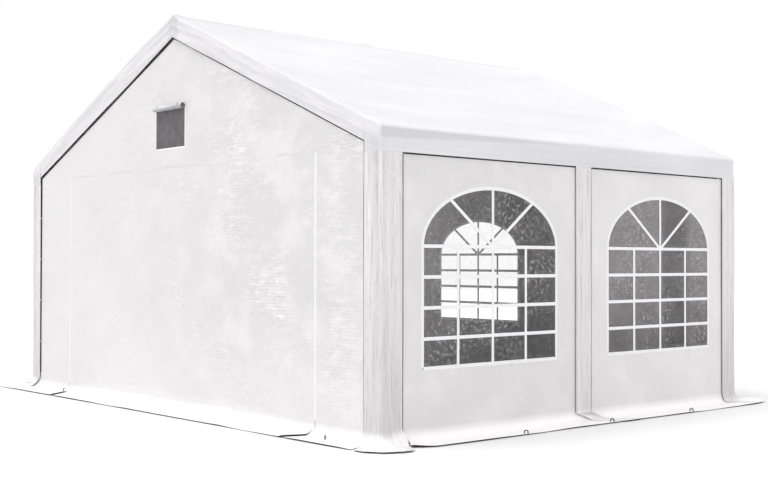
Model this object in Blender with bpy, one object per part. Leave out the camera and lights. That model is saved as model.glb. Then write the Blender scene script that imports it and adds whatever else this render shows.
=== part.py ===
"""Marquee tent, 5 m by 4 m: a steel tube frame under a white woven cover, with windowed side walls
and a zip door in each gable.

Metres, +Z up. The origin is the centre of the footprint, on the ground. The ridge runs along Y, the
front gable faces -Y and the back one +Y. Left is -X and right is +X.
"""

import math

import bmesh
import bpy
from mathutils import Matrix, Vector

# Frame, measured between tube axes
FRAME_WIDTH = 5.00
FRAME_LENGTH = 3.97
EAVE_AXIS = 2.065
RIDGE_AXIS = 3.138
TUBE_RADIUS = 0.019
SLEEVE_RADIUS = 0.0225
SLEEVE_LENGTH = 0.110
SOCKET_FLOOR = 0.032
SLEEVE_START = 0.0006
SLEEVE_TURN = 0.17
HUB_RADIUS = 0.0222
HUB_TURN = 0.3
FOOT_PLATE_WIDTH = 0.110
FOOT_PLATE_THICKNESS = 0.004
TUBE_SIDES = 16

# Clearance between pieces that touch
FIT = 0.0003

# Sheet goods
SHEET = 0.003
FILM = 0.0015
COVER_STANDOFF = 0.012
COVER_EDGE_RADIUS = 0.018
RIDGE_STEPS = 4
VALANCE_FOOT = 1.908
FASCIA_DROP_MIDDLE = 0.178
FASCIA_DROP_ENDS = 0.162
GABLE_STRIP_WIDTH = 0.171
SIDE_STRIP_WIDTH = 0.192
SIDE_GAP = 0.014
GABLE_GAP = 0.026
MIDDLE_STRIP_WIDTH = 0.174

# The foot of every sheet curves out onto the ground
FLARE_HEIGHT = 0.100
WALL_REACH = 0.140
CORNER_REACH = 0.130
FLARE_LIP = 0.030
FLARE_STEPS = 8

# Arched window, one in each side wall, and a smaller one in the back door
WINDOW_CENTRE = 0.970
WINDOW_HALF_WIDTH = 0.680
WINDOW_SILL = 0.476
WINDOW_SPRING = 1.298
WINDOW_CROWN = 1.714
BACK_WINDOW_SCALE = 0.82
BACK_WINDOW_CENTRE = -0.533
BACK_WINDOW_SILL = 0.595
ARCH_STEPS = 24
FILM_OVERLAP = 0.025

# Zip door and vent, one of each in a gable
DOOR_HALF_WIDTH = 1.800
DOOR_TOP = 1.950
DOOR_SLIT = 0.008
VENT_OFFSET = 0.052
VENT_HALF_WIDTH = 0.208
VENT_SILL = 2.115
VENT_TOP = 2.402
ROLL_HALF_LENGTH = 0.250
ROLL_RADIUS = 0.024
ROLL_TIE_RADIUS = 0.027
ROLL_TIE_WIDTH = 0.016
ROLL_TIE_PLACE = 0.150

# Worked out from the sizes above
HALF_WIDTH = FRAME_WIDTH / 2
HALF_LENGTH = FRAME_LENGTH / 2
ROOF_SLOPE = (RIDGE_AXIS - EAVE_AXIS) / HALF_WIDTH
ROOF_ANGLE = math.atan(ROOF_SLOPE)
ROOF_COSINE = math.cos(ROOF_ANGLE)
WALL_INNER = SLEEVE_RADIUS + FIT
WALL_OUTER = WALL_INNER + SHEET
COVER_OUTER = WALL_OUTER + COVER_STANDOFF
COVER_INNER = COVER_OUTER - SHEET
STRIP_EDGE_X = HALF_WIDTH + COVER_OUTER - GABLE_STRIP_WIDTH
STRIP_EDGE_Y = HALF_LENGTH + COVER_OUTER - SIDE_STRIP_WIDTH
FRAME_LINES = {"front": -HALF_LENGTH, "middle": 0.0, "back": HALF_LENGTH}
SIDES = {"left": -1, "right": 1}
ENDS = {"front": -1, "back": 1}

# A cutter reaches this far past what it cuts
MARGIN = 0.1

MATERIALS = {
    "galvanised_steel": ((0.55, 0.57, 0.58, 1.0), 0.42, 0.9),
    "connector_steel": ((0.42, 0.44, 0.46, 1.0), 0.5, 0.9),
    "white_sheet": ((0.88, 0.88, 0.89, 1.0), 0.55, 0.0),
    "clear_film": ((0.62, 0.64, 0.66, 0.4), 0.15, 0.0),
    "insect_mesh": ((0.28, 0.28, 0.29, 1.0), 0.8, 0.0),
}


def remove_start_objects():
    for existing in list(bpy.data.objects):
        bpy.data.objects.remove(existing)


def material(name):
    """The named material, made once."""
    found = bpy.data.materials.get(name)
    if found:
        return found
    colour, roughness, metallic = MATERIALS[name]
    made = bpy.data.materials.new(name)
    made.use_nodes = True
    shader = made.node_tree.nodes["Principled BSDF"]
    shader.inputs["Base Color"].default_value = colour
    shader.inputs["Alpha"].default_value = colour[3]
    shader.inputs["Roughness"].default_value = roughness
    shader.inputs["Metallic"].default_value = metallic
    return made


def add_object(name, bm, material_name=None, smooth_angle=None):
    """An object from a finished bmesh, with its faces pointing out."""
    bmesh.ops.recalc_face_normals(bm, faces=bm.faces)
    mesh = bpy.data.meshes.new(name)
    bm.to_mesh(mesh)
    bm.free()
    if smooth_angle is not None:
        mesh.shade_smooth()
        mesh.set_sharp_from_angle(angle=math.radians(smooth_angle))
    made = bpy.data.objects.new(name, mesh)
    bpy.context.scene.collection.objects.link(made)
    if material_name:
        mesh.materials.append(material(material_name))
    return made


def make_cutter(name, bm):
    cutter = add_object(name, bm)
    cutter.hide_render = True
    cutter.display_type = "WIRE"
    return cutter


def cut(target, cutter, joins_itself=False):
    boolean = target.modifiers.new(cutter.name, "BOOLEAN")
    boolean.operation = "DIFFERENCE"
    boolean.object = cutter
    boolean.use_self = joins_itself


def add_prism(bm, outline, direction):
    """A closed prism: the outline's points, swept along the direction."""
    near = [bm.verts.new(point) for point in outline]
    far = [bm.verts.new(Vector(point) + Vector(direction)) for point in outline]
    bm.faces.new(near)
    bm.faces.new(far)
    count = len(outline)
    for i in range(count):
        j = (i + 1) % count
        bm.faces.new((near[i], near[j], far[j], far[i]))


def add_block(bm, low, high):
    (x0, y0, z0), (x1, y1, z1) = low, high
    outline = [(x0, y0, z0), (x1, y0, z0), (x1, y1, z0), (x0, y1, z0)]
    add_prism(bm, outline, (0, 0, z1 - z0))


def ring_points(centre, direction, radius, turn=0.0):
    """Points of a circle square to the direction. Opposite directions give the same points."""
    axis = Vector(direction).normalized()
    reference = Vector((1, 0, 0)) if abs(axis.y) > 0.9 else Vector((0, 1, 0))
    across = (reference - axis * reference.dot(axis)).normalized()
    up = axis.cross(across)
    points = []
    for i in range(TUBE_SIDES):
        angle = 2 * math.pi * (i + turn) / TUBE_SIDES
        points.append(Vector(centre) + radius * (math.cos(angle) * across + math.sin(angle) * up))
    return points


def add_rod(bm, start, end, radius, turn=0.0):
    direction = Vector(end) - Vector(start)
    add_prism(bm, ring_points(start, direction, radius, turn), direction)


def roof_height(x, above_axis=0.0):
    """Height of the rafter axis at x, or of a surface that lies above it by a distance square to it."""
    return RIDGE_AXIS - ROOF_SLOPE * abs(x) + above_axis / ROOF_COSINE


def eave_node(side, y):
    return Vector((side * HALF_WIDTH, y, EAVE_AXIS))


def ridge_node(y):
    return Vector((0, y, RIDGE_AXIS))


# Frame


def tube_between(name, start, end):
    """A frame tube between two connectors, pushed down to the floor of both sockets."""
    direction = (end - start).normalized()
    reach = SOCKET_FLOOR + FIT
    bm = bmesh.new()
    add_rod(bm, start + direction * reach, end - direction * reach, TUBE_RADIUS)
    return add_object(name, bm, "galvanised_steel", smooth_angle=40)


def post(name, side, y):
    """An upright tube standing on its square foot plate."""
    top = eave_node(side, y) - Vector((0, 0, SOCKET_FLOOR + FIT))
    foot = Vector((side * HALF_WIDTH, y, FOOT_PLATE_THICKNESS))
    half = FOOT_PLATE_WIDTH / 2
    bm = bmesh.new()
    ring = [bm.verts.new(point) for point in ring_points(foot, (0, 0, 1), TUBE_RADIUS)]
    head = [bm.verts.new(point) for point in ring_points(top, (0, 0, 1), TUBE_RADIUS)]
    corners = [(half, half), (-half, half), (-half, -half), (half, -half)]
    plate_top = [bm.verts.new(foot + Vector((x, y_off, 0))) for x, y_off in corners]
    plate_foot = [bm.verts.new((v.co.x, v.co.y, 0)) for v in plate_top]
    bm.faces.new(head)
    bm.faces.new(plate_foot)
    for i in range(TUBE_SIDES):
        j = (i + 1) % TUBE_SIDES
        bm.faces.new((ring[i], ring[j], head[j], head[i]))
    for i in range(4):
        j = (i + 1) % 4
        bm.faces.new((plate_foot[i], plate_foot[j], plate_top[j], plate_top[i]))
    rim = [bm.edges.get((ring[i], ring[(i + 1) % TUBE_SIDES])) for i in range(TUBE_SIDES)]
    rim += [bm.edges.get((plate_top[i], plate_top[(i + 1) % 4])) for i in range(4)]
    bmesh.ops.triangle_fill(bm, edges=rim, use_beauty=True)
    return add_object(name, bm, "galvanised_steel", smooth_angle=40)


def connector(name, centre, directions):
    """A welded fitting: sleeves along the given directions, each with a socket for a tube's end."""
    bm = bmesh.new()
    hub_place = Matrix.Translation(centre) @ Matrix.Rotation(HUB_TURN, 4, (1, 2, 3))
    bmesh.ops.create_icosphere(bm, subdivisions=3, radius=HUB_RADIUS, matrix=hub_place)
    for i, direction in enumerate(directions):
        start = centre - direction * SLEEVE_START * (i + 1)
        add_rod(bm, start, centre + direction * SLEEVE_LENGTH, SLEEVE_RADIUS, turn=SLEEVE_TURN * (i + 1))
    fitting = add_object(name, bm, "connector_steel", smooth_angle=40)
    sockets = bmesh.new()
    for direction in directions:
        floor = centre + direction * SOCKET_FLOOR
        mouth = centre + direction * (SLEEVE_LENGTH + MARGIN)
        add_rod(sockets, floor, mouth, TUBE_RADIUS + FIT)
    cut(fitting, make_cutter(f"cut_{name}", sockets), joins_itself=True)
    return fitting


def build_frame():
    down = Vector((0, 0, -1))
    along = Vector((0, 1, 0))
    lines = list(FRAME_LINES.items())
    for line, y in lines:
        runs = [along * sign for sign in (-1, 1) if abs(y + sign * HALF_LENGTH) <= HALF_LENGTH]
        rafter_ways = []
        for side_name, side in SIDES.items():
            up_slope = (ridge_node(y) - eave_node(side, y)).normalized()
            rafter_ways.append(-up_slope)
            post(f"post_{line}_{side_name}", side, y)
            tube_between(f"rafter_{line}_{side_name}", eave_node(side, y), ridge_node(y))
            connector(f"eave_connector_{line}_{side_name}", eave_node(side, y), [down, up_slope] + runs)
        connector(f"ridge_connector_{line}", ridge_node(y), rafter_ways + runs)
    for bay, (y0, y1) in {"front": (-HALF_LENGTH, 0.0), "back": (0.0, HALF_LENGTH)}.items():
        tube_between(f"ridge_tube_{bay}", ridge_node(y0), ridge_node(y1))
        for side_name, side in SIDES.items():
            tube_between(f"eave_tube_{bay}_{side_name}", eave_node(side, y0), eave_node(side, y1))


# Sheets


def flare_profile(top, reach):
    """Outer line of a hanging sheet, as (distance out, height): straight down, then out along the ground."""
    curve_reach = reach - FLARE_LIP
    points = [(0.0, top)]
    for i in range(FLARE_STEPS + 1):
        angle = math.pi / 2 * i / FLARE_STEPS
        out = curve_reach * (1 - math.cos(angle))
        points.append((out, SHEET + FLARE_HEIGHT * (1 - math.sin(angle))))
    points.append((reach, SHEET))
    return points


def inner_profile(outer):
    """The same line, one sheet's thickness further in."""
    inner = []
    for i, (out, height) in enumerate(outer):
        before = outer[max(i - 1, 0)]
        after = outer[min(i + 1, len(outer) - 1)]
        run = Vector((after[0] - before[0], after[1] - before[1])).normalized()
        inner.append((out + run.y * SHEET, height - run.x * SHEET))
    return inner


def add_flared_sheet(bm, path, top, reach):
    """A closed sheet that hangs along a path of (x, y, outward x, outward y) and flares at its foot."""
    outer = flare_profile(top, reach)
    layers = []
    for profile in (outer, inner_profile(outer)):
        columns = []
        for x, y, out_x, out_y in path:
            column = [bm.verts.new((x + out_x * out, y + out_y * out, z)) for out, z in profile]
            columns.append(column)
        layers.append(columns)
    front, back = layers
    for layer in layers:
        for left, right in zip(layer, layer[1:]):
            for i in range(len(left) - 1):
                bm.faces.new((left[i], right[i], right[i + 1], left[i + 1]))
    for row in (0, -1):
        for i in range(len(path) - 1):
            bm.faces.new((front[i][row], front[i + 1][row], back[i + 1][row], back[i][row]))
    for column in (0, -1):
        for i in range(len(outer) - 1):
            outside, inside = front[column], back[column]
            bm.faces.new((outside[i], outside[i + 1], inside[i + 1], inside[i]))


def arch_outline(half_width, sill, spring, crown):
    """Window outline as (across, height): a rectangle under half an ellipse."""
    points = [(-half_width, sill), (half_width, sill)]
    for i in range(ARCH_STEPS + 1):
        angle = math.pi * i / ARCH_STEPS
        points.append((half_width * math.cos(angle), spring + (crown - spring) * math.sin(angle)))
    return points


def roof_cover():
    """The roof cover: two slopes, a valance along each eave and a fascia under each gable edge."""

    def house(bm, half_x, half_y, above_axis, foot, edge_radius):
        shoulder = roof_height(half_x, above_axis)
        outline = [(-half_x, foot), (-half_x, shoulder)]
        for i in range(RIDGE_STEPS + 1):
            angle = ROOF_ANGLE * (2 * i / RIDGE_STEPS - 1)
            outline.append((above_axis * math.sin(angle), RIDGE_AXIS + above_axis * math.cos(angle)))
        outline += [(half_x, shoulder), (half_x, foot)]
        add_prism(bm, [(x, -half_y, z) for x, z in outline], (0, 2 * half_y, 0))
        side_edges = [e for e in bm.edges if min(abs(v.co.x) for v in e.verts) > half_x - FIT]
        folds = [e for e in side_edges if max(v.co.z for v in e.verts) > foot + FIT]
        bmesh.ops.bevel(bm, geom=folds, offset=edge_radius, segments=3, profile=0.5, affect="EDGES")

    shell = bmesh.new()
    house(shell, HALF_WIDTH + COVER_OUTER, HALF_LENGTH + COVER_OUTER, WALL_OUTER, VALANCE_FOOT, COVER_EDGE_RADIUS)
    cover = add_object("roof_cover", shell, "white_sheet", smooth_angle=40)

    hollow = bmesh.new()
    house(
        hollow,
        HALF_WIDTH + COVER_INNER,
        HALF_LENGTH + COVER_INNER,
        WALL_INNER,
        VALANCE_FOOT - MARGIN,
        COVER_EDGE_RADIUS - SHEET,
    )
    cut(cover, make_cutter("cut_roof_hollow", hollow))

    gable_opening = bmesh.new()
    outline = [(-STRIP_EDGE_X, VALANCE_FOOT - MARGIN)]
    for x, drop in ((-STRIP_EDGE_X, FASCIA_DROP_ENDS), (0, FASCIA_DROP_MIDDLE), (STRIP_EDGE_X, FASCIA_DROP_ENDS)):
        outline.append((x, roof_height(x, WALL_OUTER) - drop))
    outline.append((STRIP_EDGE_X, VALANCE_FOOT - MARGIN))
    length = 2 * (HALF_LENGTH + MARGIN)
    add_prism(gable_opening, [(x, -length / 2, z) for x, z in outline], (0, length, 0))
    cut(cover, make_cutter("cut_gable_openings", gable_opening))


def corner_strips():
    """The strips that cover the corner posts, folded round the corner."""
    corner_x = HALF_WIDTH + COVER_OUTER
    corner_y = HALF_LENGTH + COVER_OUTER
    radius = COVER_EDGE_RADIUS
    steps = 4
    for end_name, end in ENDS.items():
        for side_name, side in SIDES.items():
            path = [(side * STRIP_EDGE_X, end * corner_y, 0, end)]
            for i in range(steps + 1):
                turn = math.pi / 2 * i / steps
                out_x, out_y = side * math.sin(turn), end * math.cos(turn)
                x = side * (corner_x - radius) + radius * out_x
                y = end * (corner_y - radius) + radius * out_y
                path.append((x, y, out_x, out_y))
            path.append((side * corner_x, end * STRIP_EDGE_Y, side, 0))
            bm = bmesh.new()
            add_flared_sheet(bm, path, VALANCE_FOOT - FIT, CORNER_REACH)
            add_object(f"corner_strip_{end_name}_{side_name}", bm, "white_sheet", smooth_angle=40)


def middle_strips():
    """The strips that cover the two middle posts."""
    half = MIDDLE_STRIP_WIDTH / 2
    for side_name, side in SIDES.items():
        x = side * (HALF_WIDTH + COVER_OUTER)
        bm = bmesh.new()
        add_flared_sheet(bm, [(x, -half, side, 0), (x, half, side, 0)], VALANCE_FOOT - FIT, WALL_REACH)
        add_object(f"middle_strip_{side_name}", bm, "white_sheet", smooth_angle=40)


def side_walls():
    """Four side walls with their arched window openings, and the clear film behind each opening."""
    clear_of_corner = STRIP_EDGE_Y - SIDE_GAP
    clear_of_middle = MIDDLE_STRIP_WIDTH / 2 + SIDE_GAP
    middle_edge = SIDE_GAP / 2
    flare_top = SHEET + FLARE_HEIGHT
    for side_name, side in SIDES.items():
        for end_name, end in ENDS.items():
            name = f"side_wall_{end_name}_{side_name}"
            wall_x = side * (HALF_WIDTH + WALL_OUTER)
            centre_y = end * WINDOW_CENTRE
            bm = bmesh.new()
            path = [(wall_x, end * middle_edge, side, 0), (wall_x, end * HALF_LENGTH, side, 0)]
            add_flared_sheet(bm, path, EAVE_AXIS, WALL_REACH)
            wall = add_object(name, bm, "white_sheet", smooth_angle=40)

            window = bmesh.new()
            outline = arch_outline(WINDOW_HALF_WIDTH, WINDOW_SILL, WINDOW_SPRING, WINDOW_CROWN)
            start_x = wall_x - side * MARGIN
            add_prism(window, [(start_x, centre_y + y, z) for y, z in outline], (side * 2 * MARGIN, 0, 0))
            low_x, high_x = sorted((wall_x - side * MARGIN, wall_x + side * (WALL_REACH + MARGIN)))
            for y0, y1 in ((clear_of_corner, HALF_LENGTH + MARGIN), (-MARGIN, clear_of_middle)):
                low_y, high_y = sorted((end * y0, end * y1))
                add_block(window, (low_x, low_y, -MARGIN), (high_x, high_y, flare_top))
            cut(wall, make_cutter(f"cut_{name}", window))

            film = bmesh.new()
            outline = arch_outline(
                WINDOW_HALF_WIDTH + FILM_OVERLAP,
                WINDOW_SILL - FILM_OVERLAP,
                WINDOW_SPRING,
                WINDOW_CROWN + FILM_OVERLAP,
            )
            film_x = side * (HALF_WIDTH + WALL_INNER - FIT)
            add_prism(film, [(film_x, centre_y + y, z) for y, z in outline], (-side * FILM, 0, 0))
            add_object(f"window_film_{end_name}_{side_name}", film, "clear_film")


def gable_walls():
    """Both gable walls, with a doorway and a vent opening each."""
    clear_of_corner = STRIP_EDGE_X - GABLE_GAP
    flare_top = SHEET + FLARE_HEIGHT
    for end_name, end in ENDS.items():
        name = f"gable_wall_{end_name}"
        wall_y = end * (HALF_LENGTH + WALL_OUTER)
        bm = bmesh.new()
        path = [(-HALF_WIDTH, wall_y, 0, end), (HALF_WIDTH, wall_y, 0, end)]
        add_flared_sheet(bm, path, RIDGE_AXIS, WALL_REACH)
        wall = add_object(name, bm, "white_sheet", smooth_angle=40)

        start_y = wall_y - end * MARGIN
        sweep = (0, end * (WALL_REACH + 2 * MARGIN), 0)
        above = bmesh.new()
        past = HALF_WIDTH + MARGIN
        outline = [(-past, roof_height(past)), (0, RIDGE_AXIS), (past, roof_height(past))]
        outline += [(past, RIDGE_AXIS + MARGIN), (-past, RIDGE_AXIS + MARGIN)]
        add_prism(above, [(x, start_y, z) for x, z in outline], sweep)
        cut(wall, make_cutter(f"cut_{name}_slopes", above))

        openings = bmesh.new()
        low_y, high_y = sorted((start_y, start_y + sweep[1]))
        add_block(openings, (-DOOR_HALF_WIDTH, low_y, -MARGIN), (DOOR_HALF_WIDTH, high_y, DOOR_TOP))
        vent_x = end * VENT_OFFSET
        vent_low = (vent_x - VENT_HALF_WIDTH, low_y, VENT_SILL)
        add_block(openings, vent_low, (vent_x + VENT_HALF_WIDTH, high_y, VENT_TOP))
        for low_x, high_x in ((-past, -clear_of_corner), (clear_of_corner, past)):
            add_block(openings, (low_x, low_y, -MARGIN), (high_x, high_y, flare_top))
        cut(wall, make_cutter(f"cut_{name}_openings", openings))


def zip_doors():
    """The roll-up door panels, closed, with a slit each side where their feet leave the wall's."""
    for end_name, end in ENDS.items():
        name = f"zip_door_{end_name}"
        door_y = end * (HALF_LENGTH + WALL_OUTER)
        edge = DOOR_HALF_WIDTH - FIT
        bm = bmesh.new()
        add_flared_sheet(bm, [(-edge, door_y, 0, end), (edge, door_y, 0, end)], DOOR_TOP - FIT, WALL_REACH)
        door = add_object(name, bm, "white_sheet", smooth_angle=40)

        slits = bmesh.new()
        low_y, high_y = sorted((door_y - end * MARGIN, door_y + end * (WALL_REACH + MARGIN)))
        for side in SIDES.values():
            low_x, high_x = sorted((side * (edge - DOOR_SLIT), side * (edge + MARGIN)))
            add_block(slits, (low_x, low_y, -MARGIN), (high_x, high_y, SHEET + FLARE_HEIGHT))
        if end_name == "back":
            half_width = BACK_WINDOW_SCALE * WINDOW_HALF_WIDTH
            spring = BACK_WINDOW_SILL + BACK_WINDOW_SCALE * (WINDOW_SPRING - WINDOW_SILL)
            crown = BACK_WINDOW_SILL + BACK_WINDOW_SCALE * (WINDOW_CROWN - WINDOW_SILL)
            outline = arch_outline(half_width, BACK_WINDOW_SILL, spring, crown)
            points = [(BACK_WINDOW_CENTRE + x, door_y - end * MARGIN, z) for x, z in outline]
            add_prism(slits, points, (0, end * 2 * MARGIN, 0))

            grown = FILM_OVERLAP
            outline = arch_outline(half_width + grown, BACK_WINDOW_SILL - grown, spring, crown + grown)
            film = bmesh.new()
            film_y = end * (HALF_LENGTH + WALL_INNER - FIT)
            points = [(BACK_WINDOW_CENTRE + x, film_y, z) for x, z in outline]
            add_prism(film, points, (0, -end * FILM, 0))
            add_object("window_film_back_door", film, "clear_film")
        cut(door, make_cutter(f"cut_{name}", slits))


def vents():
    """The insect screen behind each vent opening, and its flap rolled up and tied above it."""
    for end_name, end in ENDS.items():
        screen = bmesh.new()
        screen_y = sorted((end * (HALF_LENGTH + WALL_INNER - FIT - FILM), end * (HALF_LENGTH + WALL_INNER - FIT)))
        vent_x = end * VENT_OFFSET
        half = VENT_HALF_WIDTH + FILM_OVERLAP
        low = (vent_x - half, screen_y[0], VENT_SILL - FILM_OVERLAP)
        high = (vent_x + half, screen_y[1], VENT_TOP + FILM_OVERLAP)
        add_block(screen, low, high)
        add_object(f"vent_screen_{end_name}", screen, "insect_mesh")

        stations = [(-ROLL_HALF_LENGTH, ROLL_RADIUS)]
        for place in (-ROLL_TIE_PLACE, ROLL_TIE_PLACE):
            for offset, radius in ((-1, ROLL_RADIUS), (-1, ROLL_TIE_RADIUS), (1, ROLL_TIE_RADIUS), (1, ROLL_RADIUS)):
                stations.append((place + offset * ROLL_TIE_WIDTH / 2, radius))
        stations.append((ROLL_HALF_LENGTH, ROLL_RADIUS))
        roll_y = end * (HALF_LENGTH + WALL_OUTER + FIT + ROLL_TIE_RADIUS)
        roll_z = VENT_TOP + ROLL_TIE_RADIUS
        roll = bmesh.new()
        rings = []
        for x, radius in stations:
            points = ring_points((vent_x + x, roll_y, roll_z), (1, 0, 0), radius)
            rings.append([roll.verts.new(point) for point in points])
        for first, second in zip(rings, rings[1:]):
            for i in range(TUBE_SIDES):
                j = (i + 1) % TUBE_SIDES
                roll.faces.new((first[i], first[j], second[j], second[i]))
        roll.faces.new(rings[0])
        roll.faces.new(rings[-1])
        add_object(f"vent_roll_{end_name}", roll, "white_sheet", smooth_angle=40)


def main():
    remove_start_objects()
    build_frame()
    roof_cover()
    corner_strips()
    middle_strips()
    side_walls()
    gable_walls()
    zip_doors()
    vents()


main()
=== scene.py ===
"""Dresses the marquee tent: its sheets, windows, zips, vents, cover strips, lacing, pegs and stitching,
each made by an operator of its own and laid round the tent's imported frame.

Metres, +Z up. The ridge runs along Y, the front gable faces -Y, and left is -X.
"""

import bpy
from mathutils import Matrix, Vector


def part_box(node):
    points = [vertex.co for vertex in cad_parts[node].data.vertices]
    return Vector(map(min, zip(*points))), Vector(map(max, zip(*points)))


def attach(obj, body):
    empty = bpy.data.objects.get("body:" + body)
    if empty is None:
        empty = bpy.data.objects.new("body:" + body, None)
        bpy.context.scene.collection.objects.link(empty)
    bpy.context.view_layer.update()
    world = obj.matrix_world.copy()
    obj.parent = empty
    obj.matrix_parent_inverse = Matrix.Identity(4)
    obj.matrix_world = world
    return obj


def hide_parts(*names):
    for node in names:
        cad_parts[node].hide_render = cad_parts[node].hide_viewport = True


bl_info = {
    "name": "Marquee Tent",
    "version": (1, 0, 0),
    "blender": (4, 5, 0),
    "location": "3D View > Sidebar > Marquee",
    "description": "Cover, walls, windows and fittings for a frame tent",
    "category": "Add Mesh",
}

import math

import bmesh
import bpy
import numpy as np
from bpy.props import FloatProperty, FloatVectorProperty, PointerProperty
from bpy.types import Operator, Panel, PropertyGroup
from mathutils import Matrix, Vector

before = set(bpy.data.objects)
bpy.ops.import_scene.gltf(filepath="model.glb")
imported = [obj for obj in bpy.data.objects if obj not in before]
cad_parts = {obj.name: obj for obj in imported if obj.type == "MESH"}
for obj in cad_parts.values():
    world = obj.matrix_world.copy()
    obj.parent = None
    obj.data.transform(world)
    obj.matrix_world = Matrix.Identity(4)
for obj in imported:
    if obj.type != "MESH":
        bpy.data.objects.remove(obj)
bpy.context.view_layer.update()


def middle(node):
    """The middle of a node of the frame."""
    low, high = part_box(node)
    return (low + high) / 2


# Places taken from the frame
POST_X = middle("post_front_right").x
POST_Y = middle("rafter_back_right").y
EAVE_Z = middle("eave_tube_front_right").z
RIDGE_Z = middle("ridge_tube_front").z
SLOPE = (RIDGE_Z - EAVE_Z) / POST_X
SLOPE_COSINE = 1 / math.sqrt(1 + SLOPE**2)
COVER_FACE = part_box("roof_cover")[1]
COVER_LIFT = (COVER_FACE.z - RIDGE_Z) / SLOPE_COSINE
VALANCE_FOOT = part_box("roof_cover")[0].z
SHEET_DEPTH = 0.003
WALL_FACE_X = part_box("side_wall_front_right")[0].x + SHEET_DEPTH
WALL_FACE_Y = SHEET_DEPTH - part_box("gable_wall_front")[1].y
STRIP_EDGE_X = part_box("corner_strip_front_right")[0].x + 0.0095
STRIP_EDGE_Y = -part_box("corner_strip_front_right")[1].y
MIDDLE_STRIP_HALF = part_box("middle_strip_right")[1].y
DOOR_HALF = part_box("zip_door_front")[1].x + 0.013
DOOR_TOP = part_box("zip_door_front")[1].z
FILM_LOW, FILM_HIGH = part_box("window_film_back_right")
BACK_FILM_LOW, BACK_FILM_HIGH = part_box("window_film_back_door")
SCREEN_LOW, SCREEN_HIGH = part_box("vent_screen_front")
ROLL_LOW, ROLL_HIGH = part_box("vent_roll_front")
VENT_OFFSET = -(SCREEN_LOW.x + SCREEN_HIGH.x) / 2

# Sizes that the frame's boxes don't give: the cover
ROOF_CELL = 0.034
FASCIA_DROP = 0.178
FASCIA_TAPER = 0.016
CORNER_RADIUS = 0.018
STRIP_LIFT = 0.0045
# Its lumps over the eave and ridge connectors, each with its height and how far it spreads down the roof
# and along it, and how far it puffs up and crumples along its gable edges
EAVE_LUMP = (0.011, 0.06, 0.085)
RIDGE_LUMP = (0.012, 0.045, 0.06)
VERGE_PUFF, VERGE_CRUMPLE = 0.040, 0.011
# How much further in a gable wall ends on its tight side
TIGHT_SHIFT = 0.0135
# The doors, their zips and the seams
DOOR_SHIFT = 0.0345
ZIP_HALF_GAP = 0.002
ZIP_FOOT = 0.05
TAPE_DEPTH = 0.0009
TOOTH = (0.0062, 0.0018, 0.0022)
TOOTH_SPACING = 0.0032
SLIDER_BODY = (0.012, 0.0095, 0.0045)
SLIDER_TAB = (0.034, 0.0065, 0.0015)
DOOR_SEAM = (0.018, 0.0004)
SEAM_FOOT = 0.23
STITCH_WIDTH, STITCH_HEIGHT = 0.0016, 0.0014
# The windows, with a gap behind the sheets, and the rise of the border over the bars
FILM_OVERLAP = 0.025
BEHIND_GAP = 0.0003
BORDER_RISE = 0.0012
ARCH_RISE_SHARE = 0.6118
FAN_ANGLE = math.radians(51.5)
# The vents' frames, wide and deep
VENT_FRAME = (0.012, 0.0010)
# The rolled flaps: how far each stands off its gable, its turns, the radius inside and how much is added
# to it by all the turns, and the ties with how far and over what width they draw it in
ROLL_STAND = 0.0245
ROLL_TURNS = 2.6
ROLL_CORE, ROLL_GROWTH = 0.0070, 0.0155
TIE_PLACES = (-0.155, 0.145)
TIE_RADIUS = 0.0183
TIE_PINCH, PINCH_WIDTH = 0.22, 0.022
TIE = (0.016, 0.0012)
# The lacing, and the eyelets' outline from the hole outwards: distance from the middle, and height
LACING_HEIGHTS = (1.597, 1.210, 0.825, 0.439)
EYELET_INSET = 0.016
EYELET_OUTLINE = ((0.0052, 0.0002), (0.0056, 0.0018), (0.0074, 0.0024), (0.0092, 0.0016), (0.0096, 0.0))
# The weave, and the grid of thicker threads in it
WEAVE_PITCH = 0.003
GRID_PITCH = (0.032, 0.024)

SIDES = {"left": -1, "right": 1}
ENDS = {"front": -1, "back": 1}
CORNERS = tuple((end, side) for end in ENDS for side in SIDES)
UP = np.array([0.0, 0.0, 1.0])

# How hazy a film is, at shares of the way towards the back
HAZE_BANDS = (
    (0.02, 0.088), (0.14, 0.052), (0.30, 0.024), (0.44, 0.038), (0.58, 0.125), (0.775, 0.125),
    (0.81, 0.050), (0.88, 0.050), (0.91, 0.125),
)

# A cord's path from behind the strip to its eyelet: how far from the eyelet, and how far off the wall
CORD_PATH = (
    (-0.095, 0.003), (-0.060, 0.0042), (-0.030, 0.0046), (-0.012, 0.0045), (-0.003, 0.0034),
    (0.0, -0.002), (0.0, -0.012),
)

# How far the cloth reaches out over the ground: near and far along each wall, and at each corner
FRONT_REACH = (0.266, 0.200)
BACK_REACH = (0.125, 0.120)
SIDE_REACH = (0.205, 0.260)
CORNER_REACH = {
    ("front", "left"): 0.240,
    ("front", "right"): 0.245,
    ("back", "left"): 0.150,
    ("back", "right"): 0.245,
}
FLARE_TOP = 0.200
CREST = 0.030
GROUND = 0.003
# Where each cloth starts to lean out, and how far it leans before it turns onto the ground
FRONT_FLARE = (0.085, 0.012)
SIDE_FLARE = (0.085, 0.012)
CORNER_FLARE = {
    ("front", "left"): (0.095, 0.018),
    ("front", "right"): (0.115, 0.034),
    ("back", "left"): (0.095, 0.018),
    ("back", "right"): (0.100, 0.018),
}
MIDDLE_FLARE = (0.085, 0.012)
# How deep the folds of the walls are
SIDE_FOLDS, GABLE_FOLDS = 0.0022, 0.0026
# How far the skirts curl up at the near corner and beside the zips
CORNER_CURL, ZIP_CURL = 0.012, 0.013
# How far from its ends a side wall's skirt is moved along the ground
TUCK_LENGTH = 0.4
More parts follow.
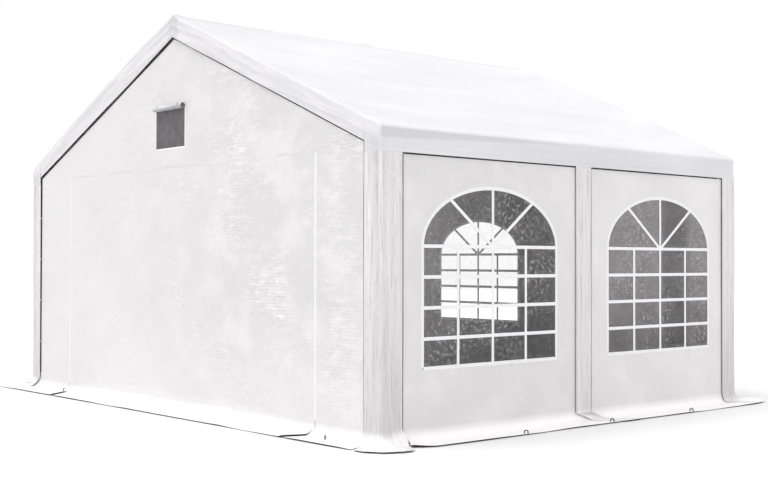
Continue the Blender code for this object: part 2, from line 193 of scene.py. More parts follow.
# How far the front wall's skirt spreads along the ground at its slack end and at its tight end, and the
# back wall's at both
SLACK_SPREAD = 0.36
TIGHT_SPREAD = 0.132
BACK_SPREAD = 0.03
# How far the side walls' skirts move along the ground: in and out where they are swept back at a corner,
# at the other end of such a wall, and at the ends of the other walls
SWEEP_IN, SWEEP_OUT = 0.056, 0.30
PULL_BY_SWEEP = 0.325
FAR_PULLS = (0.15, 0.18)
# The same for the strips: slanted at the middle, drawn in by the gables and by the side walls
MIDDLE_SLANT = 0.30
SLACK_DRAW, TIGHT_DRAW = 0.21, 0.17
SIDE_DRAW = 0.155
STRIP_SWEEP_IN, STRIP_SWEEP_OUT = 0.088, 0.22
# The same beside the zips, and how far the skirts part there
LEFT_SLANT, RIGHT_SLANT = 0.19, 0.08
ZIP_PARTING = 0.005
BESIDE_ZIP = 0.15
# How far the strips reach past the skirts on the ground
PAST_GABLE, PAST_SIDE, PAST_MIDDLE = 0.024, 0.015, 0.006
# The pegs along a side wall and beside the zips, and how far in from the skirt's edge each is
SIDE_PEGS, SIDE_PEG_INSET = (-0.84, 0.10, 1.08), 0.014
ZIP_PEGS, ZIP_PEG_INSET = (-0.075, 0.174), 0.045
PEG_RADIUS = 0.0045

# The camera, solved from the photograph
CAMERA_PLACE = (8.3373, -7.0595, 1.1966)
CAMERA_YAW = 48.849
CAMERA_PITCH = 0.6326
CAMERA_ROLL = 0.0836
CAMERA_LENS = 56.28
SENSOR_WIDTH = 36.0
TO_SUN = (-0.12, -0.30, 0.92)


def length_property(name, description, default):
    """A property that holds a length."""
    return FloatProperty(name=name, description=description, default=default, unit="LENGTH")


def colour_property(name, description, *default):
    """A property that holds a colour."""
    return FloatVectorProperty(name=name, description=description, default=default, subtype="COLOR")


class MarqueeSizes(PropertyGroup):
    """Sizes of the cloth and its fittings."""

    sheet: length_property("Sheet", "Thickness of the woven sheet", 0.001)
    cell: length_property("Cell", "Spacing of the cloth's mesh", 0.026)
    roof_sag: length_property("Roof sag", "How far the roof sags between its rafters", 0.030)
    fold_radius: length_property("Fold radius", "Radius of the cover's folds at eave and gable", 0.022)
    hem: length_property("Hem", "Width of the hems", 0.030)
    top_slit: length_property("Top slit", "Open slit between the valance and a side wall", 0.0095)
    side_slit: length_property("Side slit", "Open slit beside a wall", 0.0050)
    slit_shift: length_property("Slit shift", "How far each side wall hangs to one side", 0.0135)
    gable_slit: length_property("Gable slit", "Open slit on a gable wall's slack side", 0.0155)
    bar: length_property("Bar", "Width of a window bar", 0.024)
    bar_depth: length_property("Bar depth", "Depth of a window bar", 0.0022)
    border: length_property("Border", "Width of the window border", 0.026)
    zip_width: length_property("Zip", "Width of the zip's tape", 0.024)
    stitch: length_property("Stitch", "Length of one stitch", 0.006)
    stitch_gap: length_property("Stitch spacing", "Distance from stitch to stitch", 0.011)
    cord: length_property("Lacing cord", "Diameter of the lacing cord", 0.004)


class MarqueeColours(PropertyGroup):
    """Colours of the materials."""

    cover: colour_property("Cover", "Roof, valance and rolled flaps", 0.705, 0.70, 0.728)
    fascia: colour_property("Fascia", "The cover's fascia on the gables", 0.708, 0.692, 0.706)
    strip: colour_property("Strips", "Cover strips", 0.752, 0.731, 0.745)
    wall: colour_property("Wall", "Walls and doors", 0.705, 0.693, 0.696)
    inside: colour_property("Inside", "Shaded inner face of the sheets", 0.342, 0.333, 0.342)
    film: colour_property("Film", "Window film", 0.80, 0.775, 0.79)
    trim: colour_property("Trim", "Window bars and zips", 0.86, 0.86, 0.87)
    net: colour_property("Net", "Insect screen", 0.133, 0.127, 0.132)
    steel: colour_property("Steel", "Galvanised tube", 0.52, 0.54, 0.56)


class MarqueeStage(PropertyGroup):
    """Floor, light and sky."""

    sky: FloatProperty(name="Sky", description="Strength of the even light", default=1.0, min=0.0)
    sun: FloatProperty(name="Sun", description="Strength of the soft sun", default=1.45, min=0.0)
    sun_spread: FloatProperty(
        name="Sun spread", description="Softness of the sun in degrees", default=35.0, min=0.0
    )
    floor_near: colour_property("Floor near", "Floor colour by the tent", 0.80, 0.80, 0.80)
    floor_radius: length_property("Floor radius", "Radius of the floor", 40.0)


def sizes():
    return bpy.context.scene.marquee_sizes


def colours():
    return bpy.context.scene.marquee_colours


# Wrinkles


def smooth_noise(across, up, seed):
    """Smooth lattice noise from -1 to 1, the same on each run."""
    across, up = np.broadcast_arrays(np.asarray(across, float), np.asarray(up, float))
    column, row = np.floor(across), np.floor(up)
    along, rise = across - column, up - row
    along, rise = along * along * (3 - 2 * along), rise * rise * (3 - 2 * rise)

    def value(i, j):
        wave = np.sin(i * 12.9898 + j * 78.233 + seed * 37.719) * 43758.5453
        return 2 * (wave - np.floor(wave)) - 1

    low = value(column, row) * (1 - along) + value(column + 1, row) * along
    high = value(column, row + 1) * (1 - along) + value(column + 1, row + 1) * along
    return low * (1 - rise) + high * rise


def bell(distance, width, other=0.0, other_width=1.0):
    """A soft bump: 1 in the middle, and 0.37 at a width's distance, in one direction or in two."""
    return np.exp(-((distance / width) ** 2 + (other / other_width) ** 2))


def ridges(across, up, seed):
    """Sharp-crested creases, from 0 in the hollows to 1 on the crests."""
    return (1 - np.abs(smooth_noise(across, up, seed))) ** 3


def crumple(across, up, seed):
    """Folds and creases of several sizes, about -1 to 1."""
    warp = 0.35 * smooth_noise(across * 1.7, up * 1.7, seed + 9)
    total = 0.55 * smooth_noise(across * 2.2 + warp, up * 2.6, seed)
    total += 0.30 * (2 * ridges(across * 4.1 + warp, up * 3.3 - warp, seed + 1) - 1)
    total += 0.15 * smooth_noise(across * 9.0, up * 11.0, seed + 2)
    return total


# Cloth


class HangingCloth:
    """Cloth that hangs upright along a path on the ground plan and curves out onto the ground.

    A flat point is (across, up): how far along the path, and its height, which goes on below the start
    of the flare as length of cloth, to foot_up. base and out give the path's points and outward
    directions, reach how far the foot lies out, relief the folds, and flare where the lean starts and
    how far it goes.
    """

    def __init__(self, base, out, reach, relief, flare, lift=0.0015):
        self.base, self.out, self.reach, self.relief = base, out, reach, relief
        self.flare, self.lift = flare, lift
        self.foot_up = self.top_of_flare() - self.length(np.array([0.0]))[0]

    def top_of_flare(self):
        return self.lift + FLARE_TOP

    def profile(self, across):
        """Distances out and heights along the flare, one row for each point across."""
        reach = self.reach(across)[:, None]
        start, lean = (part[:, None] for part in self.flare(across))
        fall = np.linspace(0, 1, 10)
        turn, rest = np.linspace(0, 1, 9)[1:], np.linspace(0, 1, 8)[1:]
        ripple = GROUND + 0.004 + 0.004 * smooth_noise(np.asarray(across) * 3.1, 0.0, 41)[:, None]
        touch = lean + 2 * lean * (CREST - GROUND) / (start - CREST)
        flat = touch + np.minimum(0.03, 0.5 * (reach - touch))
        out = [
            0 * start,
            lean * fall**2,
            lean * (1 - turn) ** 2 + 2 * touch * turn * (1 - turn) + flat * turn**2,
            flat + (reach - flat) * rest,
        ]
        up = [
            0 * start + FLARE_TOP,
            start - (start - CREST) * fall,
            CREST * (1 - turn) ** 2 + GROUND * (1 - (1 - turn) ** 2) + 0 * start,
            GROUND + (ripple - GROUND) * rest**1.5,
        ]
        return np.concatenate(out, axis=1), np.concatenate(up, axis=1) + self.lift

    def laid_on(self, stand):
        """The same cloth's path for a piece that stands off it."""

        def relief(across, up):
            return self.relief(across, up) + stand(across, up)

        return HangingCloth(self.base, self.out, self.reach, relief, self.flare, self.lift)

    def length(self, across):
        out, up = self.profile(across)
        return np.hypot(np.diff(out, axis=1), np.diff(up, axis=1)).sum(axis=1)

    def place(self, across, up, stand=0.0):
        """The places of flat points that stand out from the cloth by stand, and the normals there."""
        across, up = np.broadcast_arrays(np.asarray(across, float), np.asarray(up, float))
        out, height = self.profile(across)
        run = np.hypot(np.diff(out, axis=1), np.diff(height, axis=1))
        share = np.clip((self.top_of_flare() - up) / (self.top_of_flare() - self.foot_up), 0, 1)
        travel = np.concatenate([np.zeros((len(across), 1)), np.cumsum(run, axis=1)], axis=1)
        wanted = share * travel[:, -1]
        cell = np.clip((travel < wanted[:, None]).sum(axis=1) - 1, 0, run.shape[1] - 1)
        row = np.arange(len(across))
        part = (wanted - travel[row, cell]) / np.maximum(run[row, cell], 1e-9)
        step_out = out[row, cell + 1] - out[row, cell]
        step_up = height[row, cell + 1] - height[row, cell]
        flat_out = out[row, cell] + part * step_out
        flat_up = np.where(share > 0, height[row, cell] + part * step_up, up)
        lean = np.where(share > 0, np.arctan2(step_out, -step_up), 0.0)
        outward = self.out(across)
        normal = outward * np.cos(lean)[:, None] + UP * np.sin(lean)[:, None]
        near_foot = np.clip((up - self.foot_up) / 0.16, 0.0, 1.0)
        stand = stand + near_foot * self.relief(across, up)
        points = self.base(across) + outward * flat_out[:, None] + UP * flat_up[:, None]
        return points + normal * stand[:, None], normal

    def spot(self, across, up, stand=0.0):
        """The place of one flat point, and its normal."""
        points, normals = self.place(np.array([across]), np.array([up]), stand)
        return points[0], normals[0]

    def reach_at(self, across):
        return self.reach(np.array([across]))[0]


def even(height, lean):
    """A flare that is the same all along a cloth."""
    return lambda across: (np.full(len(across), height), np.full(len(across), lean))


def upright_cloth(origin, along, out, reach, relief, flare):
    """Hanging cloth along a straight line on the ground."""
    origin, along, out = (np.array(v, float) for v in (origin, along, out))
    return HangingCloth(
        lambda across: origin + along * across[:, None],
        lambda across: np.broadcast_to(out, (len(across), 3)),
        reach,
        relief,
        even(*flare),
    )


def grid_lines(low, high, step, *stops):
    """Evenly spaced lines from low to high that also pass through the stops."""
    ends = sorted({low, high, *(s for s in stops if low < s < high)})
    lines = [low]
    for start, end in zip(ends, ends[1:]):
        count = max(1, round((end - start) / step))
        lines += [start + (end - start) * (i + 1) / count for i in range(count)]
    return np.array(lines)


def grid_faces(columns, rows):
    """The faces of a grid of points, which are numbered column by column."""
    number = np.arange(columns * rows).reshape(columns, rows)
    corners = number[:-1, :-1], number[1:, :-1], number[1:, 1:], number[:-1, 1:]
    return np.stack(corners, -1).reshape(-1, 4)


def placed(name, data):
    """An object for a mesh, a lamp or a camera, in the scene."""
    made = bpy.data.objects.new(name, data)
    bpy.context.scene.collection.objects.link(made)
    return made


def remove(piece):
    """Takes out an object and its mesh."""
    old = piece.data
    bpy.data.objects.remove(piece)
    bpy.data.meshes.remove(old)


def built_object(name, bm):
    """An object from a mesh under construction, with outward faces."""
    bmesh.ops.recalc_face_normals(bm, faces=bm.faces)
    mesh = bpy.data.meshes.new(name)
    bm.to_mesh(mesh)
    bm.free()
    return placed(name, mesh)


def smoothed(piece, sharp=40):
    """Shades a piece smooth except at sharp edges."""
    piece.data.shade_smooth()
    piece.data.set_sharp_from_angle(angle=math.radians(sharp))
    return piece


def mesh_object(name, points, faces, flat=None):
    """An object from points and faces, with the flat places, in metres, as its UV map."""
    mesh = bpy.data.meshes.new(name)
    mesh.from_pydata([tuple(p) for p in points], [], [tuple(f) for f in faces])
    if flat is not None:
        layer = mesh.uv_layers.new(name="Flat")
        corners = np.zeros(len(mesh.loops), np.int32)
        mesh.loops.foreach_get("vertex_index", corners)
        layer.data.foreach_set("uv", np.asarray(flat, np.float32)[corners].ravel())
    return placed(name, mesh)


def give_thickness(sheet, outside, inside, thickness=None):
    """Gives a sheet its thickness inwards, and a finish to each of its faces."""
    sheet.data.materials.append(outside)
    sheet.data.materials.append(inside)
    solid = sheet.modifiers.new("thickness", "SOLIDIFY")
    solid.thickness = thickness or sizes().sheet
    solid.offset = -1
    solid.material_offset = 1


def plain_mesh(piece, sharp=40):
    """Turns a piece and its modifiers into one plain mesh, shaded smooth except at sharp edges."""
    evaluated = piece.evaluated_get(bpy.context.evaluated_depsgraph_get())
    mesh = bpy.data.meshes.new_from_object(evaluated)
    piece.modifiers.clear()
    old, piece.data = piece.data, mesh
    bpy.data.meshes.remove(old)
    mesh.name = piece.name
    return smoothed(piece, sharp)


def finish_piece(piece, material, replaced=()):
    """Gives a piece its material, ties it to the tent's body, and hides the nodes that it stands for."""
    if material is not None:
        piece.data.materials.clear()
        piece.data.materials.append(material)
    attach(piece, "root")
    if replaced:
        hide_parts(*replaced)
    return piece


def cloth_sheet(
    name, cloth, across, up, finishes, keep=None, snap=None, shape=None, thickness=None, stand=None
):
    """A sheet of cloth on a grid of flat coordinates, with its real thickness and its two finishes.

    up is one row of heights, or a grid of them with a row for each place across. keep says which cells
    stay, snap moves points onto the edge of a hole, shape moves them before they are placed, and stand
    says how far they stand off the cloth.
    """
    across_grid = np.repeat(across[:, None], up.shape[-1], axis=1)
    up_grid = np.broadcast_to(up, across_grid.shape).copy()
    faces = grid_faces(*across_grid.shape)
    centre_across = (across_grid[:-1, :-1] + across_grid[1:, 1:]).ravel() / 2
    centre_up = (up_grid[:-1, :-1] + up_grid[1:, 1:] + up_grid[:-1, 1:] + up_grid[1:, :-1]).ravel() / 4
    flat_across, flat_up = across_grid.ravel(), up_grid.ravel()
    if keep is not None:
        stays = keep(centre_across, centre_up)
        if snap is not None:
            edge = np.intersect1d(faces[stays].ravel(), faces[~stays].ravel())
            flat_across[edge], flat_up[edge] = snap(flat_across[edge], flat_up[edge])
        faces = faces[stays]
    flat = np.stack([flat_across, flat_up], -1)
    off = 0.0 if stand is None else stand(flat_across, flat_up)
    if shape is not None:
        flat_across, flat_up = shape(flat_across, flat_up)
    points, normals = cloth.place(flat_across, flat_up, off)
    first, second, last = (points[faces[:, corner]] for corner in (0, 1, 3))
    if (np.cross(second - first, last - first) * normals[faces[:, 0]]).sum() < 0:
        faces = faces[:, ::-1]
    used, faces = np.unique(faces, return_inverse=True)
    faces = faces.reshape(-1, 4)
    sheet = mesh_object(name, points[used], faces, flat[used])
    give_thickness(sheet, *finishes, thickness)
    return plain_mesh(sheet)


def loft_faces(count, sides, closed):
    """The faces through a row of rings, with caps on the ends unless the row is closed."""
    faces = []
    for i in range(count if closed else count - 1):
        j = (i + 1) % count
        for k in range(sides):
            m = (k + 1) % sides
            faces.append((i * sides + k, j * sides + k, j * sides + m, i * sides + m))
    if not closed:
        faces.append(tuple(range(sides)))
        faces.append(tuple((count - 1) * sides + k for k in reversed(range(sides))))
    return faces


def solid_object(name, points, faces):
    """An object from points and faces, with outward faces."""
    bm = bmesh.new()
    corners = [bm.verts.new(point) for point in points]
    for face in faces:
        bm.faces.new([corners[i] for i in face])
    return built_object(name, bm)


def ribbon(name, points, sideways, normals, width, depth, closed=False):
    """A flat strip with rounded edges along a line of points, on its face side of the line."""
    points, sideways, normals = (np.asarray(v, float) for v in (points, sideways, normals))
    half, round_off = width / 2, min(depth * 0.8, width * 0.2)
    outline = [(-half, 0), (-half, depth - round_off), (-half + round_off, depth)]
    outline += [(half - round_off, depth), (half, depth - round_off), (half, 0)]
    rings = [points + sideways * a + normals * b for a, b in outline]
    vertices = np.stack(rings, axis=1).reshape(-1, 3)
    travel = np.concatenate([[0], np.cumsum(np.linalg.norm(np.diff(points, axis=0), axis=1))])
    flat = [(t, 1.0 + a + b) for t in travel for a, b in outline]
    return mesh_object(name, vertices, loft_faces(len(points), len(outline), closed), flat)


def joined(name, pieces):
    """One object from several, with outward faces."""
    bm = bmesh.new()
    for piece in pieces:
        bm.from_mesh(piece.data)
        remove(piece)
    return smoothed(built_object(name, bm))


# Repeated shapes, by Geometry Nodes


def repeat_tree(along_lines):
    """Geometry Nodes that set a template on points, turned by their outward and along attributes, or
    along lines at a spacing, turned by the lines and by their outward attribute."""
    name = "Repeat along lines" if along_lines else "Repeat at points"
    if name in bpy.data.node_groups:
        return bpy.data.node_groups[name]
    tree = bpy.data.node_groups.new(name, "GeometryNodeTree")
    face = tree.interface
    kinds = {"Geometry": "Geometry", "Template": "Object", "Spacing": "Float", "Material": "Material"}
    for title, kind in kinds.items():
        face.new_socket(title, in_out="INPUT", socket_type=f"NodeSocket{kind}")
    face.new_socket("Geometry", in_out="OUTPUT", socket_type="NodeSocketGeometry")
    nodes = tree.nodes

    def attribute(title):
        node = nodes.new("GeometryNodeInputNamedAttribute")
        node.data_type = "FLOAT_VECTOR"
        node.inputs["Name"].default_value = title
        return node

    group_in, group_out = nodes.new("NodeGroupInput"), nodes.new("NodeGroupOutput")
    template, outward = nodes.new("GeometryNodeObjectInfo"), attribute("outward")
    stand = nodes.new("FunctionNodeAlignRotationToVector")
    stand.axis = "Z"
    turn = nodes.new("FunctionNodeAlignRotationToVector")
    turn.axis, turn.pivot_axis = "X", "Z"
    copies = nodes.new("GeometryNodeInstanceOnPoints")
    real = nodes.new("GeometryNodeRealizeInstances")
    coat = nodes.new("GeometryNodeSetMaterial")
    wires = [
        (group_in, "Template", template, "Object"),
        (template, "Geometry", copies, "Instance"),
        (outward, "Attribute", stand, "Vector"),
        (stand, "Rotation", turn, "Rotation"),
        (turn, "Rotation", copies, "Rotation"),
        (copies, "Instances", real, "Geometry"),
        (real, "Geometry", coat, "Geometry"),
        (group_in, "Material", coat, "Material"),
        (coat, "Geometry", group_out, "Geometry"),
    ]
    if along_lines:
        curve = nodes.new("GeometryNodeMeshToCurve")
        resample = nodes.new("GeometryNodeResampleCurve")
        resample.mode = "LENGTH"
        wires += [
            (group_in, "Geometry", curve, "Mesh"),
            (curve, "Curve", resample, "Curve"),
            (group_in, "Spacing", resample, "Length"),
            (resample, "Curve", copies, "Points"),
            (nodes.new("GeometryNodeInputTangent"), "Tangent", turn, "Vector"),
        ]
    else:
        wires += [
            (group_in, "Geometry", copies, "Points"),
            (attribute("along"), "Attribute", turn, "Vector"),
        ]
    for source, output, target, socket in wires:
        tree.links.new(source.outputs[output], target.inputs[socket])
    return tree


def set_input(modifier, name, value):
    """Sets a Geometry Nodes input by its socket's identifier."""
    socket = next(
        item
        for item in modifier.node_group.interface.items_tree
        if item.item_type == "SOCKET" and item.in_out == "INPUT" and item.name == name
    )
    modifier[socket.identifier] = value


def carrier(name, points, edges, outward, along=None):
    """A mesh of loose points or lines that carries directions for the repeat tree."""
    mesh = bpy.data.meshes.new(name)
    mesh.from_pydata([tuple(p) for p in points], edges, [])
    for title, directions in (("outward", outward), ("along", along)):
        if directions is not None:
            attribute = mesh.attributes.new(title, "FLOAT_VECTOR", "POINT")
            attribute.data.foreach_set("vector", np.asarray(directions, np.float32).ravel())
    return placed(name, mesh)


def repeat(name, template, material, lines=None, points=None, spacing=0.01):
    """One plain mesh with copies of a template along lines, each a (points, outward) pair, or at points,
    each a (place, outward, along) group."""
    if lines is not None:
        all_points, all_outward, edges = [], [], []
        for line, outward in lines:
            start = len(all_points)
            all_points += list(line)
            all_outward += list(outward)
            edges += [(start + i, start + i + 1) for i in range(len(line) - 1)]
        base = carrier(name, all_points, edges, all_outward)
    else:
        places, outward, along = zip(*points)
        base = carrier(name, places, [], outward, along)
    modifier = base.modifiers.new("repeat", "NODES")
    modifier.node_group = repeat_tree(lines is not None)
    set_input(modifier, "Template", template)
    set_input(modifier, "Spacing", spacing)
    set_input(modifier, "Material", material)
    made = plain_mesh(base)
    remove(template)
    return finish_piece(made, material)


# Finishes


class Finish:
    """A material under construction: its nodes, joined by their sockets."""

    def __init__(self, name, coordinates="UV"):
        self.material = bpy.data.materials.new(name)
        self.material.use_nodes = True
        self.tree = self.material.node_tree
        self.shader = self.tree.nodes["Principled BSDF"]
        self.place = self.tree.nodes.new("ShaderNodeTexCoord").outputs[coordinates]

    def add(self, kind, inputs, output=0, **settings):
        """One output of a node that gets its settings, and its inputs set or joined."""
        node = self.tree.nodes.new(kind)
        for key, value in settings.items():
            setattr(node, key, value)
        for key, value in inputs.items():
            self.join(node, key, value)
        return node.outputs[output]

    def join(self, node, key, value):
        if isinstance(value, bpy.types.NodeSocket):
            self.tree.links.new(value, node.inputs[key])
        else:
            node.inputs[key].default_value = value

    def noise(self, scale, detail=3.0, kind="FBM", **inputs):
        inputs = {"Vector": self.place, "Scale": scale, "Detail": detail, **inputs}
        return self.add("ShaderNodeTexNoise", inputs, noise_type=kind)

    def streaks(self, across, up, detail, **inputs):
        """Noise with a scale of its own in each flat direction."""
        scaled = {0: self.place, 1: (across, up, 1.0)}
        scaled = self.add("ShaderNodeVectorMath", scaled, operation="MULTIPLY")
        return self.noise(1.0, detail, Vector=scaled, **inputs)

    def waves(self, scale, direction):
        """Soft bands, side by side in a direction."""
        inputs = {"Vector": self.place, "Scale": scale}
        return self.add("ShaderNodeTexWave", inputs, "Fac", bands_direction=direction)

    def threads(self, pitch, direction):
        """Parallel threads at a pitch in metres, from 0 between them to 1 on them."""
        return self.waves(0.314159 / pitch, direction)

    def cells(self, scale):
        return self.add("ShaderNodeTexVoronoi", {"Vector": self.place, "Scale": scale}, "Distance")

    def flat_place(self):
        """The flat place, across and up."""
        across = self.add("ShaderNodeSeparateXYZ", {"Vector": self.place})
        return across, across.node.outputs["Y"]

    def spread(self, value, low, high, start=0.0, end=1.0):
        """From low, where a value is at start, to high, where it is at end."""
        inputs = {"Value": value, "From Min": start, "From Max": end, "To Min": low, "To Max": high}
        return self.add("ShaderNodeMapRange", inputs)

    def rise(self, value, start, end):
        """From 0, where a value is at start, to 1, where it is at end."""
        return self.spread(value, 0.0, 1.0, start, end)

    def fade(self, value, start, end):
        """From 1, where a value is at start, to 0, where it is at end."""
        return self.spread(value, 1.0, 0.0, start, end)

    def maths(self, operation, first, second=0.0):
        return self.add("ShaderNodeMath", {0: first, 1: second}, operation=operation)

    def plus(self, first, second):
        return self.maths("ADD", first, second)

    def times(self, first, second):
        return self.maths("MULTIPLY", first, second)

    def tint(self, value, *stops):
        """A colour ramp over a value, from (place, colour) stops."""
        ramp = self.add("ShaderNodeValToRGB", {"Fac": value})
        colour_ramp = ramp.node.color_ramp
        while len(colour_ramp.elements) < len(stops):
            colour_ramp.elements.new(0.5)
        for element, (place, colour) in zip(colour_ramp.elements, stops):
            element.position = place
            element.color = (*colour, 1.0)
        return ramp

    def blend(self, share, below, above, most=1.0):
        """A colour that goes from below to above with share, and at most so far."""
        inputs = {"Fac": self.times(share, most), "Color1": below, "Color2": (*above, 1.0)}
        return self.add("ShaderNodeMixRGB", inputs)

    def bump(self, height, distance, strength=1.0, under=None):
        inputs = {"Height": height, "Distance": distance, "Strength": strength}
        if under is not None:
            inputs["Normal"] = under
        return self.add("ShaderNodeBump", inputs)

    def set(self, **inputs):
        """Sets or joins sockets of the shader, named with underscores for spaces."""
        for key, value in inputs.items():
            self.join(self.shader, key.replace("_", " "), value)
        return self.material


def shade(colour, factor):
    return tuple(min(1.0, part * factor) for part in colour)


def stored(maker):
    """Makes each finish once and keeps it."""
    made = {}

    def get(*key):
        if key not in made:
            made[key] = maker(*key)
        return made[key]

    return get


def eave_painted_shade(finish, along, down):
    """Where painted shade greys the valance: a band under the eave, widest near the corner."""
    eave = (COVER_FACE.x - sizes().fold_radius) / SLOPE_COSINE + 0.030
    below = finish.maths("SUBTRACT", finish.maths("ABSOLUTE", down), eave)
    towards = finish.times(along, finish.maths("SIGN", down))
    width = finish.spread(towards, 0.075, -0.02, -1.97, 0.6)
    inside = finish.rise(finish.maths("SUBTRACT", width, below), -0.008, 0.016)
    return finish.times(inside, finish.spread(below, 0.0, 0.60, -0.006, 0.004))


@stored
def woven_finish(part):
    """Woven plastic sheet: a fine weave, a coarser grid of reinforcing threads that shows in patches,
    crinkles from its folding, and a little dust. Walls and strips have painted light on their skirts,
    for the light that the ground throws up. The side walls are whiter towards the back, and the gables
    greyer and more crumpled towards the right. The corner strips are darker where they are turned round
    the corner, with painted shadow at the top of that turn. The cover has painted shade where its
    valance tucks in under the eave, along the ridge and at its corners, and in the fascia's creases. A
    rolled flap has painted shade underneath and on its right."""
    colour = {"gable": "wall", "corner": "strip", "roll": "cover"}.get(part, part)
    colour = tuple(getattr(colours(), colour))
    crinkle = {"cover": 0.7, "strip": 0.8, "corner": 0.8, "wall": 0.7}.get(part, 1.0)
    on_strip = part in ("strip", "corner")
    finish = Finish(f"woven_{part}_sheet")
    clouds = finish.noise(0.9, 4.0)
    dust = finish.noise(38.0, 5.0)
    patches = finish.rise(finish.noise(1.6, 3.0), 0.44, 0.66)
    across, height = finish.flat_place()
    towards_right = finish.rise(across, -1.2, 1.0)
    if part == "gable":
        patches = finish.times(patches, finish.plus(finish.times(towards_right, 1.6), 0.3))
    grid = finish.times(finish.threads(GRID_PITCH[0], "X"), finish.threads(GRID_PITCH[1], "Y"))
    grid = finish.times(grid, finish.times(patches, 0.6 if part == "gable" else 1.0))
    run = finish.streaks(30.0, 2.1, 4.0, Distortion=0.8)
    mixed = finish.plus(finish.times(clouds, 0.7), finish.times(dust, 0.3))
    mixed = finish.plus(mixed, finish.times(grid, 0.09 * crinkle))
    if on_strip:
        mixed = finish.plus(mixed, finish.spread(run, -0.16, 0.16, 0.3, 0.7))
    tones = (0.30, shade(colour, 0.955)), (0.52, colour), (0.72, shade(colour, 1.045))
    base = finish.tint(mixed, *tones)
    pale = finish.rise(finish.noise(2.3, 5.0, Roughness=0.6), 0.48, 0.62)

    def layer(share, factor, most=1.0):
        """Shades the cloth by a factor where share is 1."""
        nonlocal base
        base = finish.blend(share, base, shade(colour, factor), most)

    if part == "wall":
        layer(finish.rise(across, -0.4, 0.6), 1.10, 0.6)
        layer(pale, 1.13, 0.6)
        layer(patches, 0.95, 0.5)
    if part == "gable":
        # Greyer towards the right
        layer(towards_right, 0.91, 0.85)
        scratches = finish.streaks(7.0, 24.0, 7.0, Roughness=0.75)
        layer(finish.times(finish.rise(scratches, 0.48, 0.68), patches), 1.18, 0.75)
        layer(finish.times(pale, towards_right), 1.10, 0.6)
        layer(finish.times(finish.rise(height, 0.9, 0.25), finish.rise(across, -1.6, -0.8)), 1.09, 0.45)
    if part == "corner":
        turned = finish.times(finish.rise(across, 0.05, 0.10), finish.fade(across, 0.140, 0.148))
        layer(turned, 0.90)
        # Painted shadow at the top of the turned part, under the corner of the cover
        layer(finish.times(turned, finish.rise(height, 1.80, 1.87)), 0.80)
        layer(finish.rise(height, 1.1, 0.20), 0.875)
    if on_strip or part in ("wall", "gable"):
        # Painted light on the skirts, for the light that the ground throws up; stronger on the side
        # walls, whose skirts lie in the tent's shadow
        layer(finish.rise(height, 0.095, 0.035), 1.38 if part == "wall" else 1.27)
    if part == "cover":
        bands = finish.streaks(0.5, 1.6, 3.0, Distortion=0.4)
        layer(finish.rise(bands, 0.42, 0.60), 0.92, 0.8)
        # Painted shade under the eave, where the valance tucks in
        layer(eave_painted_shade(finish, across, height), 0.77)
        out, down = finish.maths("ABSOLUTE", across), finish.maths("ABSOLUTE", height)
        fascia = finish.rise(out, COVER_FACE.y - 0.03, COVER_FACE.y + 0.02)
        base = finish.blend(fascia, base, tuple(colours().fascia), 0.8)
        # Painted shade in the fascia's creases, as darker streaks
        fascia_crease_shade = finish.streaks(22.0, 2.6, 5.0, Distortion=0.5)
        layer(finish.times(fascia, finish.rise(fascia_crease_shade, 0.48, 0.58)), 0.91, 0.8)
        # Painted shadow at each corner, where the fascia meets the valance
        at_corner = finish.times(finish.rise(out, 2.08, 2.14), finish.rise(down, 2.56, 2.68))
        layer(finish.times(at_corner, finish.fade(down, 2.75, 2.79)), 0.86)
        # Painted shade along the ridge, where the far slope turns away from the light; deeper towards
        # the front
        ridge = finish.fade(down, 0.05, 0.10)
        layer(ridge, 0.92)
        layer(finish.times(ridge, finish.fade(across, -1.6, -1.0)), 0.83)
    if part == "roll":
        # Painted shade: darker on the roll's right, and dark on its underside where little light reaches
        layer(finish.rise(across, -0.02, 0.12), 0.74)
        layer(finish.times(finish.rise(height, 0.334, 0.300), finish.rise(height, 0.25, 0.262)), 0.42)
    weave = finish.times(finish.threads(WEAVE_PITCH, "X"), finish.threads(WEAVE_PITCH, "Y"))
    folds = finish.noise(2.6, 2.5, Roughness=0.5, Distortion=0.4)
    creases = finish.noise(16.0, 3.0, "RIDGED_MULTIFRACTAL", Roughness=0.5, Distortion=0.5, Offset=0.9)
    creases = finish.times(creases, finish.plus(patches, 0.35))
    normal = finish.bump(folds, 0.030 * crinkle)
    normal = finish.bump(creases, 0.0015 * crinkle, under=normal)
    normal = finish.bump(grid, 0.0022 * crinkle, under=normal)
    if on_strip:
        normal = finish.bump(run, 0.030, under=normal)
    normal = finish.bump(weave, 0.0003, 0.6, under=normal)
    return finish.set(
        Base_Color=base,
        Roughness=finish.spread(dust, 0.42, 0.60, 0.3, 0.7),
        Normal=normal,
        Specular_IOR_Level=0.35,
        Sheen_Weight=0.05,
    )


def sheet_finishes(part):
    """The finishes of a sheet's outer and inner faces."""
    return woven_finish(part), woven_finish("inside")


